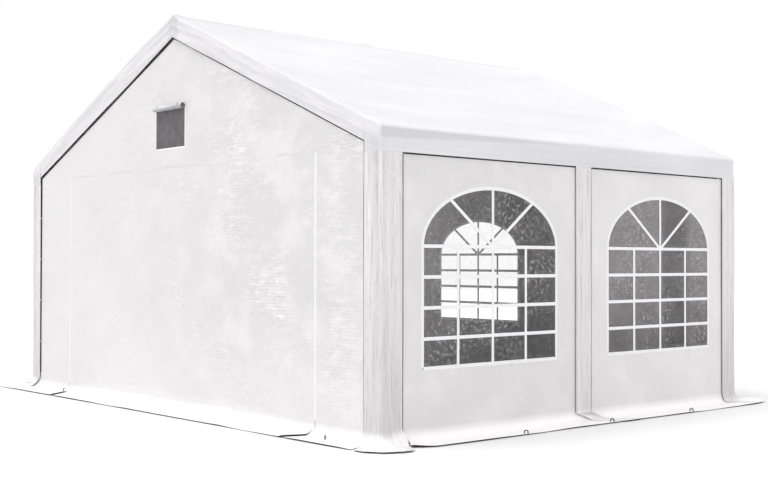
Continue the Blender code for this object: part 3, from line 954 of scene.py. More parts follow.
@stored
def film_finish(part):
    """Soft film: thin and wavy, with bands of haze and patches of fine creases, whose glints are painted
    in as specks of opacity.
    """
    creased = {"creased": 1.0, "smooth": 0.0}[part]
    finish = Finish(f"{part}_window_film")
    haze = finish.noise(6.0, 4.0)
    base = finish.tint(haze, (0.3, shade(colours().film, 0.95)), (0.7, shade(colours().film, 1.08)))
    waves = finish.noise(3.0, 2.0, Roughness=0.5, Distortion=1.4)
    patches = finish.rise(finish.noise(2.2, 2.0), 0.40, 0.62)
    creases = finish.noise(34.0, 4.0, "RIDGED_MULTIFRACTAL", Distortion=0.9, Offset=0.8)
    creases = finish.times(creases, patches)
    # Painted glints: specks of extra opacity where the fine creases catch the light
    specks = finish.streaks(34.0, 38.0, 4.0, Roughness=0.7, Distortion=0.6)
    specks = finish.spread(specks, 0.0, 0.22 * creased, 0.50, 0.72)
    specks = finish.times(specks, finish.plus(patches, 0.3))
    across, height = finish.flat_place()
    along = finish.rise(across, -1.7, 1.7)
    # More haze in bands along the wall, and more towards the top
    banded_haze = finish.tint(along, *((at, (creased * much,) * 3) for at, much in HAZE_BANDS))
    banded_haze = finish.times(banded_haze, finish.spread(height, 0.45, 1.0, 0.55, 1.15))
    cloud = finish.plus(finish.spread(haze, 0.008, 0.030, 0.3, 0.7), banded_haze)
    normal = finish.bump(waves, 0.05)
    normal = finish.bump(creases, 0.004, under=normal)
    return finish.set(
        Base_Color=base,
        Alpha=finish.plus(cloud, specks),
        Roughness=finish.spread(haze, 0.05, 0.16, 0.3, 0.7),
        Normal=normal,
        IOR=1.5,
    )


@stored
def trim_finish(part):
    """White coated tape and bars, with a fine ribbed face."""
    finish = Finish(f"white_{part}")
    marks = finish.noise(24.0, 4.0)
    colour = shade(tuple(colours().trim), 0.72 if part == "ties" else 1.0)
    base = finish.tint(marks, (0.3, shade(colour, 0.95)), (0.6, colour))
    normal = finish.bump(finish.waves(160.0, "Y"), 0.0002, 0.5)
    normal = finish.bump(marks, 0.001, 0.6, under=normal)
    return finish.set(
        Base_Color=base, Roughness=finish.spread(marks, 0.35, 0.55, 0.3, 0.7), Normal=normal
    )


@stored
def net_finish():
    """Fine grey insect net, woven at 1.5 mm, with open holes."""
    finish = Finish("insect_net")
    threads = finish.maths("MAXIMUM", finish.waves(210.0, "X"), finish.waves(210.0, "Y"))
    clouds = finish.noise(12.0)
    colour = tuple(colours().net)
    base = finish.tint(clouds, (0.3, shade(colour, 0.8)), (0.7, shade(colour, 1.25)))
    cover = finish.spread(threads, 0.72, 1.0, 0.5, 0.85)
    return finish.set(Base_Color=base, Alpha=cover, Roughness=0.75, Normal=finish.bump(threads, 0.0003))


@stored
def steel_finish(part):
    """Galvanised steel: spangled and slightly dull, brighter on the connectors and dark on the pegs."""
    finish = Finish(f"galvanised_{part}", "Object")
    scuffs = finish.noise(40.0, 6.0)
    tone = finish.spread(finish.cells(90.0), 0.0, 1.0, 0.0, 0.7)
    colour = tuple(colours().steel)
    bright = {"tube": 0.85, "connector": 1.0, "fitting": 1.15, "peg": 0.22}[part]
    base = finish.tint(tone, (0.1, shade(colour, 0.86 * bright)), (0.8, shade(colour, 1.1 * bright)))
    return finish.set(
        Base_Color=base,
        Metallic=0.9,
        Roughness=finish.spread(scuffs, 0.30, 0.48, 0.3, 0.7),
        Normal=finish.bump(scuffs, 0.0004),
    )


@stored
def cord_finish():
    """White braided elastic cord."""
    finish = Finish("white_cord", "Object")
    base = finish.tint(finish.noise(60.0), (0.3, (0.70,) * 3), (0.7, (0.82,) * 3))
    braid = finish.bump(finish.cells(700.0), 0.0005)
    return finish.set(Base_Color=base, Roughness=0.7, Normal=braid, Sheen_Weight=0.2)


@stored
def thread_finish():
    """White sewing thread, twisted."""
    finish = Finish("white_thread", "Object")
    twist = finish.noise(900.0, 2.0)
    base = finish.tint(twist, (0.3, (0.66, 0.66, 0.67)), (0.7, (0.80, 0.80, 0.81)))
    return finish.set(Base_Color=base, Roughness=0.6, Normal=finish.bump(twist, 0.0002))


# Cloths of the tent


def steady(value, span, seed):
    """A length that wanders a little along a wall."""
    return lambda across: value + span * smooth_noise(np.asarray(across) * 2.3, 0.0, seed)


def reach_between(start, end, low, high, seed):
    """A skirt's reach that goes from start at low to end at high, and wanders a little."""
    wander = steady(0.0, 0.009, seed)
    return lambda across: np.interp(across, (low, high), (start, end)) + wander(across)


def panel_relief(seed, amount, stronger=None):
    """The folds that a wall keeps from its bag: flat creases and shallow waves."""

    def relief(across, up):
        folds = crumple(across * 0.9, up * 0.8, seed)
        slow = smooth_noise(across * 0.9 + 3.1, up * 0.7, seed + 20)
        weight = 1.0 if stronger is None else stronger(across, up)
        return amount * weight * (0.45 * folds + 0.6 * slow)

    return relief


def side_cloth(side):
    """The cloth of a side's walls. across runs from the front to the back."""
    wander = steady(0.0, 0.009, 3 + side)
    relief = panel_relief(11 + side, SIDE_FOLDS)
    reaches = (SIDE_REACH[0] - 0.070, *SIDE_REACH)

    def reach(across):
        return np.interp(across, (-1.85, -1.70, 1.95), reaches) + wander(across)

    return upright_cloth((side * WALL_FACE_X, 0, 0), (0, 1, 0), (side, 0, 0), reach, relief, SIDE_FLARE)


def gable_cloth(end):
    """The cloth of a gable's wall and door. across runs from left to right."""
    reach = reach_between(*(FRONT_REACH if end < 0 else BACK_REACH), -2.5, 2.5, 7 + end)

    def stronger(across, up):
        return 0.8 + 0.4 * np.clip(across / 2.5, -0.6, 1)

    relief = panel_relief(31 + end, GABLE_FOLDS, stronger)
    cloth = upright_cloth((0, end * WALL_FACE_Y, 0), (1, 0, 0), (0, end, 0), reach, relief, FRONT_FLARE)

    def flare(across):
        free = np.clip((DOOR_HALF - 0.15 - np.abs(across)) / 0.5, 0, 1)
        return FRONT_FLARE[0] + 0.075 * free, FRONT_FLARE[1] + 0.018 * free

    cloth.flare = flare
    return cloth


def strip_relief(seed, low, high):
    """Creases that run down a cover strip, which is calm along its edges."""

    def relief(across, up):
        warp = 0.25 * smooth_noise(across * 2, up * 1.5, seed)
        down = 2.0 * ridges(across * 9.0 + warp, up * 0.45, seed) - 0.8
        slow = smooth_noise(across * 4.0, up * 1.1, seed + 4)
        from_edge = np.minimum(across - low, high - across)
        ease = np.clip((VALANCE_FOOT - up) / 0.12, 0, 1) * np.clip(from_edge / 0.03, 0, 1)
        return ease * (0.0024 * down + 0.003 * slow)

    return relief


def corner_cloth(end_name, side_name):
    """The cloth of a corner strip. across runs from its edge on the gable, round the corner."""
    end, side = ENDS[end_name], SIDES[side_name]
    flat_gable = COVER_FACE.x - CORNER_RADIUS - STRIP_EDGE_X
    flat_side = COVER_FACE.y - CORNER_RADIUS - STRIP_EDGE_Y
    arc = CORNER_RADIUS * math.pi / 2
    width = flat_gable + arc + flat_side

    def turn(across):
        return np.clip((np.asarray(across) - flat_gable) / arc, 0, 1) * math.pi / 2

    def out(across):
        angle = turn(across)
        return np.stack([side * np.sin(angle), end * np.cos(angle), 0 * angle], -1)

    def base(across):
        across = np.asarray(across, float)
        along_gable = np.minimum(across, flat_gable)
        along_side = np.maximum(across - flat_gable - arc, 0)
        direction = out(across)
        x = side * (STRIP_EDGE_X + along_gable) + CORNER_RADIUS * direction[:, 0]
        y = end * (COVER_FACE.y - CORNER_RADIUS - along_side) + CORNER_RADIUS * direction[:, 1]
        return np.stack([x, y, 0 * x], -1)

    at_gable = gable_cloth(end).reach_at(side * 2.34) + PAST_GABLE
    at_side = side_cloth(side).reach_at(end * 1.82) + PAST_SIDE
    corner = CORNER_REACH[end_name, side_name]
    corner_start, corner_lean = CORNER_FLARE[end_name, side_name]

    def reach(across):
        turned = flat_gable + arc / 2
        places = (0, turned - 0.05, turned, turned + 0.05, width)
        value = np.interp(across, places, (at_gable, corner, corner, corner, at_side))
        return value + 0.004 * smooth_noise(np.asarray(across) * 9.0, 0.0, 5 + end)

    def flare(across):
        places = (0, 0.08, width - 0.08, width)
        end_start, end_lean = SIDE_FLARE if end_name == "back" else (corner_start, 1.2 * corner_lean)
        start = np.interp(across, places, (FRONT_FLARE[0], corner_start, corner_start, end_start))
        return start, np.interp(across, places, (FRONT_FLARE[1], corner_lean, corner_lean, end_lean))

    streaks = strip_relief(50 + end * 3 + side, 0.0, width)

    def relief(across, up):
        fold = 0.0025 * bell(across - flat_gable - arc, 0.010)
        fold = fold - 0.0035 * bell(across - flat_gable + 0.012, 0.009)
        return streaks(across, up) + fold * np.clip((VALANCE_FOOT - up) / 0.12, 0, 1)

    return HangingCloth(base, out, reach, relief, flare, lift=STRIP_LIFT), width


def middle_cloth(side):
    """The cloth of a side's middle strip."""
    reach = steady(side_cloth(side).reach_at(0.0) + PAST_MIDDLE, 0.003, 4)
    relief = strip_relief(61, -MIDDLE_STRIP_HALF, MIDDLE_STRIP_HALF)
    origin = (side * COVER_FACE.x, 0, 0)
    cloth = upright_cloth(origin, (0, 1, 0), (side, 0, 0), reach, relief, MIDDLE_FLARE)
    cloth.lift = STRIP_LIFT
    return cloth


class Arch:
    """An arched window on a wall: a rectangle under half an ellipse."""

    def __init__(self, centre, half, sill, crown):
        self.centre, self.half, self.sill, self.crown = centre, half, sill, crown
        self.rise = ARCH_RISE_SHARE * half
        self.spring = crown - self.rise

    def holds(self, across, up, margin=0.0):
        """Whether flat points are inside the arch, made larger by margin."""
        side = (across - self.centre) / (self.half + margin)
        rise = np.maximum(up - self.spring, 0) / (self.rise + margin)
        return (np.hypot(side, rise) < 1) & (up > self.sill - margin) & (np.abs(side) < 1)

    def snap(self, across, up, margin=0.0):
        """Moves points near the arch's edge onto it."""
        side, rise = across - self.centre, up - self.spring
        size = np.hypot(side / (self.half + margin), rise / (self.rise + margin))
        high = (rise > 0.002) & (size > 1e-6)
        across = np.where(high, self.centre + side / np.maximum(size, 1e-6), across)
        up = np.where(high, self.spring + rise / np.maximum(size, 1e-6), up)
        return across, up

    def outline(self, inset, step=0.026):
        """The closed edge as flat points, moved inwards by inset."""
        half, rise = self.half - inset, self.rise - inset
        low = self.sill + inset
        bottom = [(self.centre + a, low) for a in np.arange(-half, half, step)]
        right = [(self.centre + half, u) for u in np.arange(low, self.spring, step)]
        angles = np.linspace(0, math.pi, 56)
        top = [(self.centre + half * math.cos(a), self.spring + rise * math.sin(a)) for a in angles]
        left = [(self.centre - half, u) for u in np.arange(self.spring - step, low, -step)]
        return bottom + right + top + left

    def columns(self):
        """The places across that its mesh has to pass through."""
        return self.centre - self.half, self.centre, self.centre + self.half

    def bars(self):
        """The glazing bars as flat lines with the share of the full depth that each has."""
        c, half, spring, rise = self.centre, self.half, self.spring, self.rise
        bars = [((c, self.sill), (c, self.crown), 1.0), ((c - half, spring), (c + half, spring), 0.88)]
        for side in (-1, 1):
            bars.append(((c + side * half / 2, self.sill), (c + side * half / 2, spring), 1.0))
            tip = (c + side * half * math.cos(FAN_ANGLE), spring + rise * math.sin(FAN_ANGLE))
            bars.append(((c, spring), tip, 0.94))
        for row in (1, 2, 3):
            level = self.sill + row * (spring - self.sill) / 4
            bars.append(((c - half, level), (c + half, level), 0.82))
        return bars


def window_arches():
    """Each window: its name, its wall's cloth and its arch. The last is the one in the back door."""
    half = (FILM_HIGH.y - FILM_LOW.y) / 2 - FILM_OVERLAP
    centre = (FILM_HIGH.y + FILM_LOW.y) / 2
    windows = []
    for end, side in CORNERS:
        arch = Arch(ENDS[end] * centre, half, FILM_LOW.z + FILM_OVERLAP, FILM_HIGH.z - FILM_OVERLAP)
        windows.append((f"{end}_{side}", side_cloth(SIDES[side]), arch))
    half = (BACK_FILM_HIGH.x - BACK_FILM_LOW.x) / 2 - FILM_OVERLAP
    centre = (BACK_FILM_HIGH.x + BACK_FILM_LOW.x) / 2
    arch = Arch(centre, half, BACK_FILM_LOW.z + FILM_OVERLAP, BACK_FILM_HIGH.z - FILM_OVERLAP)
    windows.append(("back_door", gable_cloth(1), arch))
    return windows


def border_centre(name):
    """How far the middle of a window's border lies in from the edge of its opening."""
    half = sizes().border / 2
    return -half if name.endswith("door") else half - 0.004


def bay_edges(side, arch):
    """Where the side wall round a window starts and ends along its side."""
    edges = (-STRIP_EDGE_Y, -MIDDLE_STRIP_HALF, MIDDLE_STRIP_HALF, STRIP_EDGE_Y)
    low, high = edges[:2] if arch.centre < 0 else edges[2:]
    slit, shift = sizes().side_slit, side * sizes().slit_shift
    return low + slit + shift, high - slit + shift


def on_cloth(cloth, line, stand, step=0.026, closed=False):
    """Places, sideways directions and normals along a flat line on a cloth."""
    line = [tuple(p) for p in line]
    if closed:
        line = line + line[:1]
    flat = [line[0]]
    for start, end in zip(line, line[1:]):
        count = max(1, round(math.dist(start, end) / step))
        way = np.array(end) - start
        flat += [tuple(np.array(start) + way * (i + 1) / count) for i in range(count)]
    if closed:
        flat = flat[:-1]
    flat = np.array(flat)
    points, normals = cloth.place(flat[:, 0], flat[:, 1], stand)
    if closed:
        tangent = np.roll(points, -1, axis=0) - np.roll(points, 1, axis=0)
    else:
        tangent = np.gradient(points, axis=0)
    sideways = np.cross(normals, tangent)
    sideways /= np.maximum(np.linalg.norm(sideways, axis=1), 1e-9)[:, None]
    return points, sideways, normals


def tape(name, cloth, line, width, depth, stand=0.0, closed=False):
    """A ribbon laid on a cloth along a flat line."""
    points, sideways, normals = on_cloth(cloth, line, stand, closed=closed)
    return ribbon(name, points, sideways, normals, width, depth, closed)


def inner_face():
    """How far a piece stands off a cloth when it lies on the inner face."""
    return -(sizes().sheet + BEHIND_GAP)


def declare_sheet(piece):
    """Reads a sheet's UV map, which holds in metres the size that it was cut to; nothing is done with
    it.
    """
    uv = np.zeros(2 * len(piece.data.loops), np.float32)
    piece.data.uv_layers[0].data.foreach_get("uv", uv)


# Roof cover


def roof_surface(x, y):
    """Height of the cover, which lies on the ridge, the eaves and the rafters, and sags between them."""
    smooth = np.sqrt(x * x + 0.008**2)
    height = EAVE_Z + SLOPE * (POST_X - smooth) + COVER_LIFT
    down = np.clip(np.abs(x) / POST_X, 0, 1)
    bay = np.clip(np.abs(y) / POST_Y, 0, 1)
    hang = np.sin(math.pi * down) ** 0.85 * np.sin(math.pi * bay) ** 0.8
    height = height - sizes().roof_sag * hang
    height = height + 0.0035 * hang**0.5 * crumple(x * 0.9, y * 1.1, 71)
    height = height + 0.0012 * crumple(x * 1.9, y * 2.3, 74)
    for place in (-POST_Y, 0.0, POST_Y):
        for from_middle, lump in ((np.abs(x) - POST_X + 0.035, EAVE_LUMP), (x, RIDGE_LUMP)):
            height = height + lump[0] * bell(from_middle, lump[1], y - place, lump[2])
    from_verge = np.abs(y) - POST_Y
    puff = np.sin(math.pi * np.clip(down * 1.05, 0, 1)) ** 0.6 * bell(from_verge, 0.16)
    height = height + VERGE_PUFF * puff * (x * y > 0)
    verge = bell(from_verge, 0.09) * np.clip(down / 0.2, 0, 1)
    return height + VERGE_CRUMPLE * verge * crumple(x * 3.5, y * 5.0, 78)


def fascia_edge(x):
    """Height of the fascia's lower edge on the gable."""
    x = np.abs(x)
    return EAVE_Z + SLOPE * (POST_X - x) + COVER_LIFT - FASCIA_DROP + FASCIA_TAPER * x / STRIP_EDGE_X


def cover_foot(x, out_x):
    """Height of the cover's lower edge, at x on the gables and all along the eaves."""
    low = (np.abs(x) > STRIP_EDGE_X + 0.001) | (np.abs(out_x) > 1e-6)
    return np.where(low, VALANCE_FOOT, fascia_edge(x))


def valance_stand(travel, drop, fall, over_strip):
    """How far the valance and the fascia stand out: long creases, and a hem where no strip is below."""
    long_creases = ridges(travel * 0.9, drop * 15.0 + 0.5 * smooth_noise(travel * 1.6, 0.0, 88), 81)
    slow = smooth_noise(travel * 1.7, drop * 4.0, 84)
    hang = np.clip(drop / 0.03, 0, 1)
    low = np.clip((fall - drop) / 0.05, 0, 1)
    hem = np.where((fall - drop < sizes().hem) & ~over_strip, 0.0007, 0.0)
    return hang * np.where(over_strip, low, 1.0) * (0.0110 * long_creases + 0.0040 * slow - 0.003) + hem


def eave_tuck(start, on_side, drop):
    """How far the top of the near valance slants in, down to a crease that runs out along the eave."""
    crease = np.interp(start[:, 1] * np.sign(start[:, 0]), (-POST_Y, 0.1, 0.5), (0.085, 0.03, 0.0))
    share = np.clip(drop / np.maximum(crease, 1e-4), 0, 1)
    depth = np.where(crease > 0.001, 0.2 * crease, 0.0)
    back_out = np.clip((drop - crease) / 0.05, 0, 1)
    return np.where(on_side, -depth * share * (1 - back_out), 0.0)


def edge_walk(columns, rows, fan_steps=5):
    """The way round a grid's edge: the column and row of each point and its outward direction, which
    fans out at each corner."""
    corners = [(columns - 1, 0, -90), (columns - 1, rows - 1, 0), (0, rows - 1, 90), (0, 0, 180)]
    runs = [
        [(i, 0) for i in range(columns)],
        [(columns - 1, j) for j in range(rows)],
        [(i, rows - 1) for i in range(columns - 1, -1, -1)],
        [(0, j) for j in range(rows - 1, -1, -1)],
    ]
    walk = []
    for run, (corner_i, corner_j, angle) in zip(runs, corners):
        direction = math.radians(angle)
        walk += [(i, j, math.cos(direction), math.sin(direction)) for i, j in run]
        for step in range(1, fan_steps):
            turned = direction + math.pi / 2 * step / fan_steps
            walk.append((corner_i, corner_j, math.cos(turned), math.sin(turned)))
    return walk


def rounded_fold(start, out, steps=4):
    """The levels of the cover's fold, where it turns down all round from its start."""
    lean = np.arctan(SLOPE * np.maximum(out[:, 0] * np.sign(start[:, 0]), 0))
    radius = sizes().fold_radius / (1 - np.sin(lean))
    levels = []
    for step in range(1, steps + 1):
        angle = lean + (math.pi / 2 - lean) * step / steps
        rim = start + out * (radius * (np.sin(angle) - np.sin(lean)))[:, None]
        levels.append(rim - UP * (radius * (np.cos(lean) - np.cos(angle)))[:, None])
    return levels


def hanging_levels(start, out, rim):
    """The levels of the valance and the fascia, which hang from the fold's rim. The last four are those
    of the hem."""
    travel = np.concatenate([[0], np.cumsum(np.linalg.norm(np.diff(rim[:, :2], axis=0), axis=1))])
    fall = rim[:, 2] - cover_foot(start[:, 0], out[:, 0])
    hem_share = 1 - sizes().hem / fall
    on_side = np.abs(out[:, 0]) > 0.999
    from_x, from_y = np.abs(start[:, 0]), np.abs(start[:, 1])
    over_strip = np.where(
        on_side,
        (from_y < MIDDLE_STRIP_HALF + 0.002) | (from_y > STRIP_EDGE_Y - 0.002),
        from_x > STRIP_EDGE_X - 0.002,
    )
    shares = [share * (hem_share - 0.004) for share in np.linspace(0, 1, 11)[1:]]
    shares += [hem_share + 0.004, (1 + hem_share) / 2, np.ones(len(fall))]
    levels = []
    for share in shares:
        drop = fall * share
        stand = valance_stand(travel, drop, fall, over_strip) + eave_tuck(start, on_side, drop)
        levels.append(rim - UP * drop[:, None] + out * stand[:, None])
    return levels


def build_roof_cover():
    """The roof cover as one sheet: its two slopes, the rounded folds, and the cloth that hangs down."""
    end_x, end_y = COVER_FACE.x - sizes().fold_radius, COVER_FACE.y - sizes().fold_radius
    stops_x = [sign * x for sign in (-1, 1) for x in (0.02, STRIP_EDGE_X, STRIP_EDGE_X + 0.002)]
    stops_y = [sign * y for sign in (-1, 1) for y in (MIDDLE_STRIP_HALF, STRIP_EDGE_Y)]
    xs = grid_lines(-end_x, end_x, ROOF_CELL, 0.0, *stops_x)
    ys = grid_lines(-end_y, end_y, ROOF_CELL, 0.0, *stops_y)
    grid_x, grid_y = np.meshgrid(xs, ys, indexing="ij")
    top = np.stack([grid_x, grid_y, roof_surface(grid_x, grid_y)], -1).reshape(-1, 3)
    columns, rows = grid_x.shape
    faces = grid_faces(columns, rows).tolist()
    points = top.tolist()
    flat = np.stack([grid_y, grid_x / SLOPE_COSINE], -1).reshape(-1, 2).tolist()

    walk = edge_walk(columns, rows)
    index = np.array([i * rows + j for i, j, _, _ in walk])
    out = np.array([(x, y, 0.0) for _, _, x, y in walk])
    start = top[index]
    levels = rounded_fold(start, out)
    levels += hanging_levels(start, out, levels[-1])

    uv_start = np.array(flat)[index]
    uv_out = np.stack([out[:, 1], out[:, 0]], -1)
    previous, length = start, np.zeros(len(start))
    count, above = len(walk), index.tolist()
    for level in levels:
        length = length + np.linalg.norm(level - previous, axis=1)
        previous = level
        below = list(range(len(points), len(points) + count))
        points += level.tolist()
        flat += (uv_start + uv_out * length[:, None]).tolist()
        for a in range(count):
            b = (a + 1) % count
            face = (above[a], below[a], below[b], above[b])
            faces.append(face if above[a] != above[b] else face[:3])
        above = below
    sheet = mesh_object("cover", points, faces, flat)
    give_thickness(sheet, *sheet_finishes("cover"))
    return plain_mesh(sheet, sharp=50), (levels[-4] + out * 0.0006, out)


class MARQUEE_OT_roof_cover(Operator):
    """Make the roof cover with its valance and fascia"""

    bl_idname = "marquee.roof_cover"
    bl_label = "Roof cover"

    def execute(self, context):
        cover, hem_line = build_roof_cover()
        finish_piece(cover, None, ["roof_cover"])
        declare_sheet(cover)
        sew("cover_stitches", [hem_line])
        return {"FINISHED"}


# Walls


def stitch_line(cloth, line, stand=0.0):
    """A line of stitches on a cloth: its points and their outward directions."""
    points, _, normals = on_cloth(cloth, line, stand + 0.0002, step=0.05)
    return points, normals


def sew(name, lines):
    """Stitches along lines, as one piece."""
    stitch = spindle("stitch", sizes().stitch, STITCH_WIDTH, STITCH_HEIGHT)
    return repeat(name, stitch, thread_finish(), lines=lines, spacing=sizes().stitch_gap)


def spread(cloth, up, power=0.7, start=0.09):
    """A skirt's share of its shift along the ground at a height: 0 up the wall, and 1 at its edge."""
    return np.clip((start - up) / (start - cloth.foot_up), 0, 1) ** power


def sweep(cloth, up, inward, outward):
    """How far the end of a skirt is drawn in at a height: it first spreads, and then comes back."""
    share = spread(cloth, up, 1.0, 0.06)
    return inward * share**1.5 - outward * share * (1 - share) ** 2


def wall_rows(cloth, top, *stops):
    """Heights for a wall's rows, closer together on the flare."""
    flare = grid_lines(cloth.foot_up, cloth.top_of_flare(), 0.014)
    return np.concatenate([flare[:-1], grid_lines(cloth.top_of_flare(), top, sizes().cell, *stops)])


def tucked(low, high, start, end):
    """Moves the ends of a wall's skirt along the ground, by what start and end give for a height."""

    def shape(across, up):
        at_start = np.clip(1 - (across - low) / TUCK_LENGTH, 0, 1) ** 1.5
        at_end = np.clip(1 - (high - across) / TUCK_LENGTH, 0, 1) ** 1.5
        return across + start(up) * at_start + end(up) * at_end, up

    return shape


def build_side_wall(name, side, arch):
    """A side wall of one bay, with its window's opening."""
    cloth = side_cloth(side)
    low, high = bay_edges(side, arch)
    across = grid_lines(low, high, sizes().cell, *arch.columns())
    up = wall_rows(cloth, VALANCE_FOOT - sizes().top_slit, arch.sill, arch.spring, arch.crown)
    by_corner = side * arch.centre < 0

    def pulled(amount):
        return lambda u: side * amount * spread(cloth, u, 0.5, 0.055)

    def swept(u):
        return -side * sweep(cloth, u, SWEEP_IN, SWEEP_OUT)

    def curl(a, u):
        beside = bell(a - (low if side > 0 else high), 0.07)
        return by_corner * CORNER_CURL * beside * np.clip(-u / 0.08, 0, 1)

    moves = (swept, pulled(PULL_BY_SWEEP)) if by_corner else tuple(map(pulled, FAR_PULLS))
    start, end = moves[::side]
    return cloth_sheet(
        name, cloth, across, up, sheet_finishes("wall"), keep=lambda a, u: ~arch.holds(a, u),
        snap=arch.snap, shape=tucked(low, high, start, end), stand=curl,
    )


class MARQUEE_OT_side_walls(Operator):
    """Make the four side walls"""

    bl_idname = "marquee.side_walls"
    bl_label = "Side walls"

    def execute(self, context):
        for place, _, arch in window_arches()[:4]:
            side = SIDES[place.split("_")[1]]
            wall = build_side_wall(f"wall_{place}", side, arch)
            finish_piece(wall, None, [f"side_wall_{place}"])
            declare_sheet(wall)
        return {"FINISHED"}


class MARQUEE_OT_windows(Operator):
    """Make the window films, their borders and their bars"""

    bl_idname = "marquee.windows"
    bl_label = "Windows"

    def execute(self, context):
        for place, cloth, arch in window_arches():
            film = self.film(f"film_{place}", cloth, arch)
            bars = self.bars(f"bars_{place}", cloth, arch)
            finish_piece(film, None, [f"window_film_{place}"])
            finish_piece(bars, trim_finish("bars"))
            declare_sheet(film)
        return {"FINISHED"}

    def film(self, name, cloth, arch):
        overlap = FILM_OVERLAP * 0.8
        low, high = arch.centre - arch.half - overlap, arch.centre + arch.half + overlap
        across = grid_lines(low, high, 0.03)
        up = grid_lines(arch.sill - overlap, arch.crown + overlap, 0.03, arch.spring)

        def waves(a, u):
            edge = np.minimum(arch.half - np.abs(a - arch.centre), u - arch.sill)
            inside = np.clip(edge / 0.12, 0, 1) * np.clip((arch.crown - u) / 0.2, 0, 1)
            return -0.0022 * inside * (1 + crumple(a * 0.8, u * 1.1, 91 + round(arch.centre)))

        hung = cloth.laid_on(lambda a, u: inner_face() + waves(a, u))
        finish = film_finish("smooth" if name.endswith("door") else "creased")
        return cloth_sheet(
            name, hung, across, up, (finish, finish), keep=lambda a, u: arch.holds(a, u, overlap),
            snap=lambda a, u: arch.snap(a, u, overlap), thickness=0.0005,
        )

    def bars(self, name, cloth, arch):
        s = sizes()
        pieces = [
            tape(name, cloth, (start, end), s.bar, s.bar_depth * share, inner_face())
            for start, end, share in arch.bars()
        ]
        edge, depth = arch.outline(border_centre(name)), s.bar_depth + BORDER_RISE
        pieces.append(tape(name, cloth, edge, s.border, depth, inner_face(), closed=True))
        return joined(name, pieces)


def door_edges(end):
    """Where a gable's door starts and ends across the gable."""
    centre = -end * DOOR_SHIFT
    return centre - DOOR_HALF, centre + DOOR_HALF


def skirt_slant(cloth, across, up):
    """Slants the skirt beside the zips, where it was pulled out over the ground."""
    left, right = (bell(across - place, 0.3) for place in door_edges(-1))
    slanted = across + LEFT_SLANT * left * spread(cloth, up, 1.0, 0.0)
    return slanted - RIGHT_SLANT * right * spread(cloth, up, 0.35, 0.05)


def zip_curl(inward, up):
    """How far a skirt's edge curls up beside a zip, at a distance in from that edge."""
    beside = (inward > -1e-6) * bell(inward, 0.03)
    return ZIP_CURL * beside * np.clip((0.03 - up) / 0.05, 0, 1)


class MARQUEE_OT_gable_walls(Operator):
    """Make the gable walls round the doors"""

    bl_idname = "marquee.gable_walls"
    bl_label = "Gable walls"

    def execute(self, context):
        for end_name, end in ENDS.items():
            wall = self.wall(f"gable_{end_name}", end)
            finish_piece(wall, None, [f"gable_wall_{end_name}"])
            declare_sheet(wall)
        return {"FINISHED"}

    def wall(self, name, end):
        cloth = gable_cloth(end)
        slack, tight = sizes().gable_slit, sizes().side_slit
        left, right = (slack, tight) if end < 0 else (-tight, -tight)
        right_post = right + (TIGHT_SHIFT if end < 0 else 0.0)
        door_low, door_high = door_edges(end)
        door_low, door_high = door_low - ZIP_HALF_GAP, door_high + ZIP_HALF_GAP
        vent_x, vent_half, vent_low, vent_top = vent_opening(end)
        stops = (door_low, vent_x - vent_half, 0.0, vent_x + vent_half, door_high)
        across = grid_lines(left - STRIP_EDGE_X, STRIP_EDGE_X - right_post, sizes().cell, *stops)
        rows = wall_rows(cloth, DOOR_TOP)
        slit = np.interp(across, (-0.04, 0.04), (left + 0.003, right + 0.0065))
        tall = fascia_edge(across) - slit / SLOPE_COSINE - DOOR_TOP
        first = np.minimum(vent_low - DOOR_TOP, 0.25 * tall)
        second = first + np.minimum(vent_top - vent_low, 0.4 * tall)
        knots = (np.zeros(len(across)), first, second, tall)
        counts = (6, 11, 22)
        upper = []
        for low, high, count in zip(knots, knots[1:], counts):
            upper += [low + (high - low) * (i + 1) / count for i in range(count)]
        low_rows = np.repeat(rows[None, :], len(across), axis=0)
        up = np.concatenate([low_rows, DOOR_TOP + np.stack(upper, -1)], axis=1)

        def keep(a, u):
            door = (a > door_low) & (a < door_high) & (u < DOOR_TOP)
            vent = (np.abs(a - vent_x) < vent_half) & (u > vent_low) & (u < vent_top)
            return ~(door | vent)

        def shape(a, u):
            side = np.clip((np.abs(a) - STRIP_EDGE_X + 0.25) / 0.25, 0, 1)
            beside_zip = (a > door_low - BESIDE_ZIP) & (a < door_high + BESIDE_ZIP)
            part_ways = ZIP_PARTING * np.sign(a) * beside_zip * spread(cloth, u)
            slack = SLACK_SPREAD * spread(cloth, u, 0.8, 0.15)
            slack = slack + np.interp(u, (0.5, 1.0, 1.2, 1.9), (0.0085, 0.0065, 0.005, 0))
            outward = np.where(a < 0, slack, TIGHT_SPREAD * spread(cloth, u, 1.2))
            if end > 0:
                outward = BACK_SPREAD * spread(cloth, u, 1.0)
            return skirt_slant(cloth, a, u) + np.sign(a) * side * outward + part_ways, u

        curled = door_low if end < 0 else door_high
        return cloth_sheet(
            name, cloth, across, up, sheet_finishes("gable"), keep=keep, shape=shape,
            stand=lambda a, u: zip_curl(end * (a - curled), u),
        )


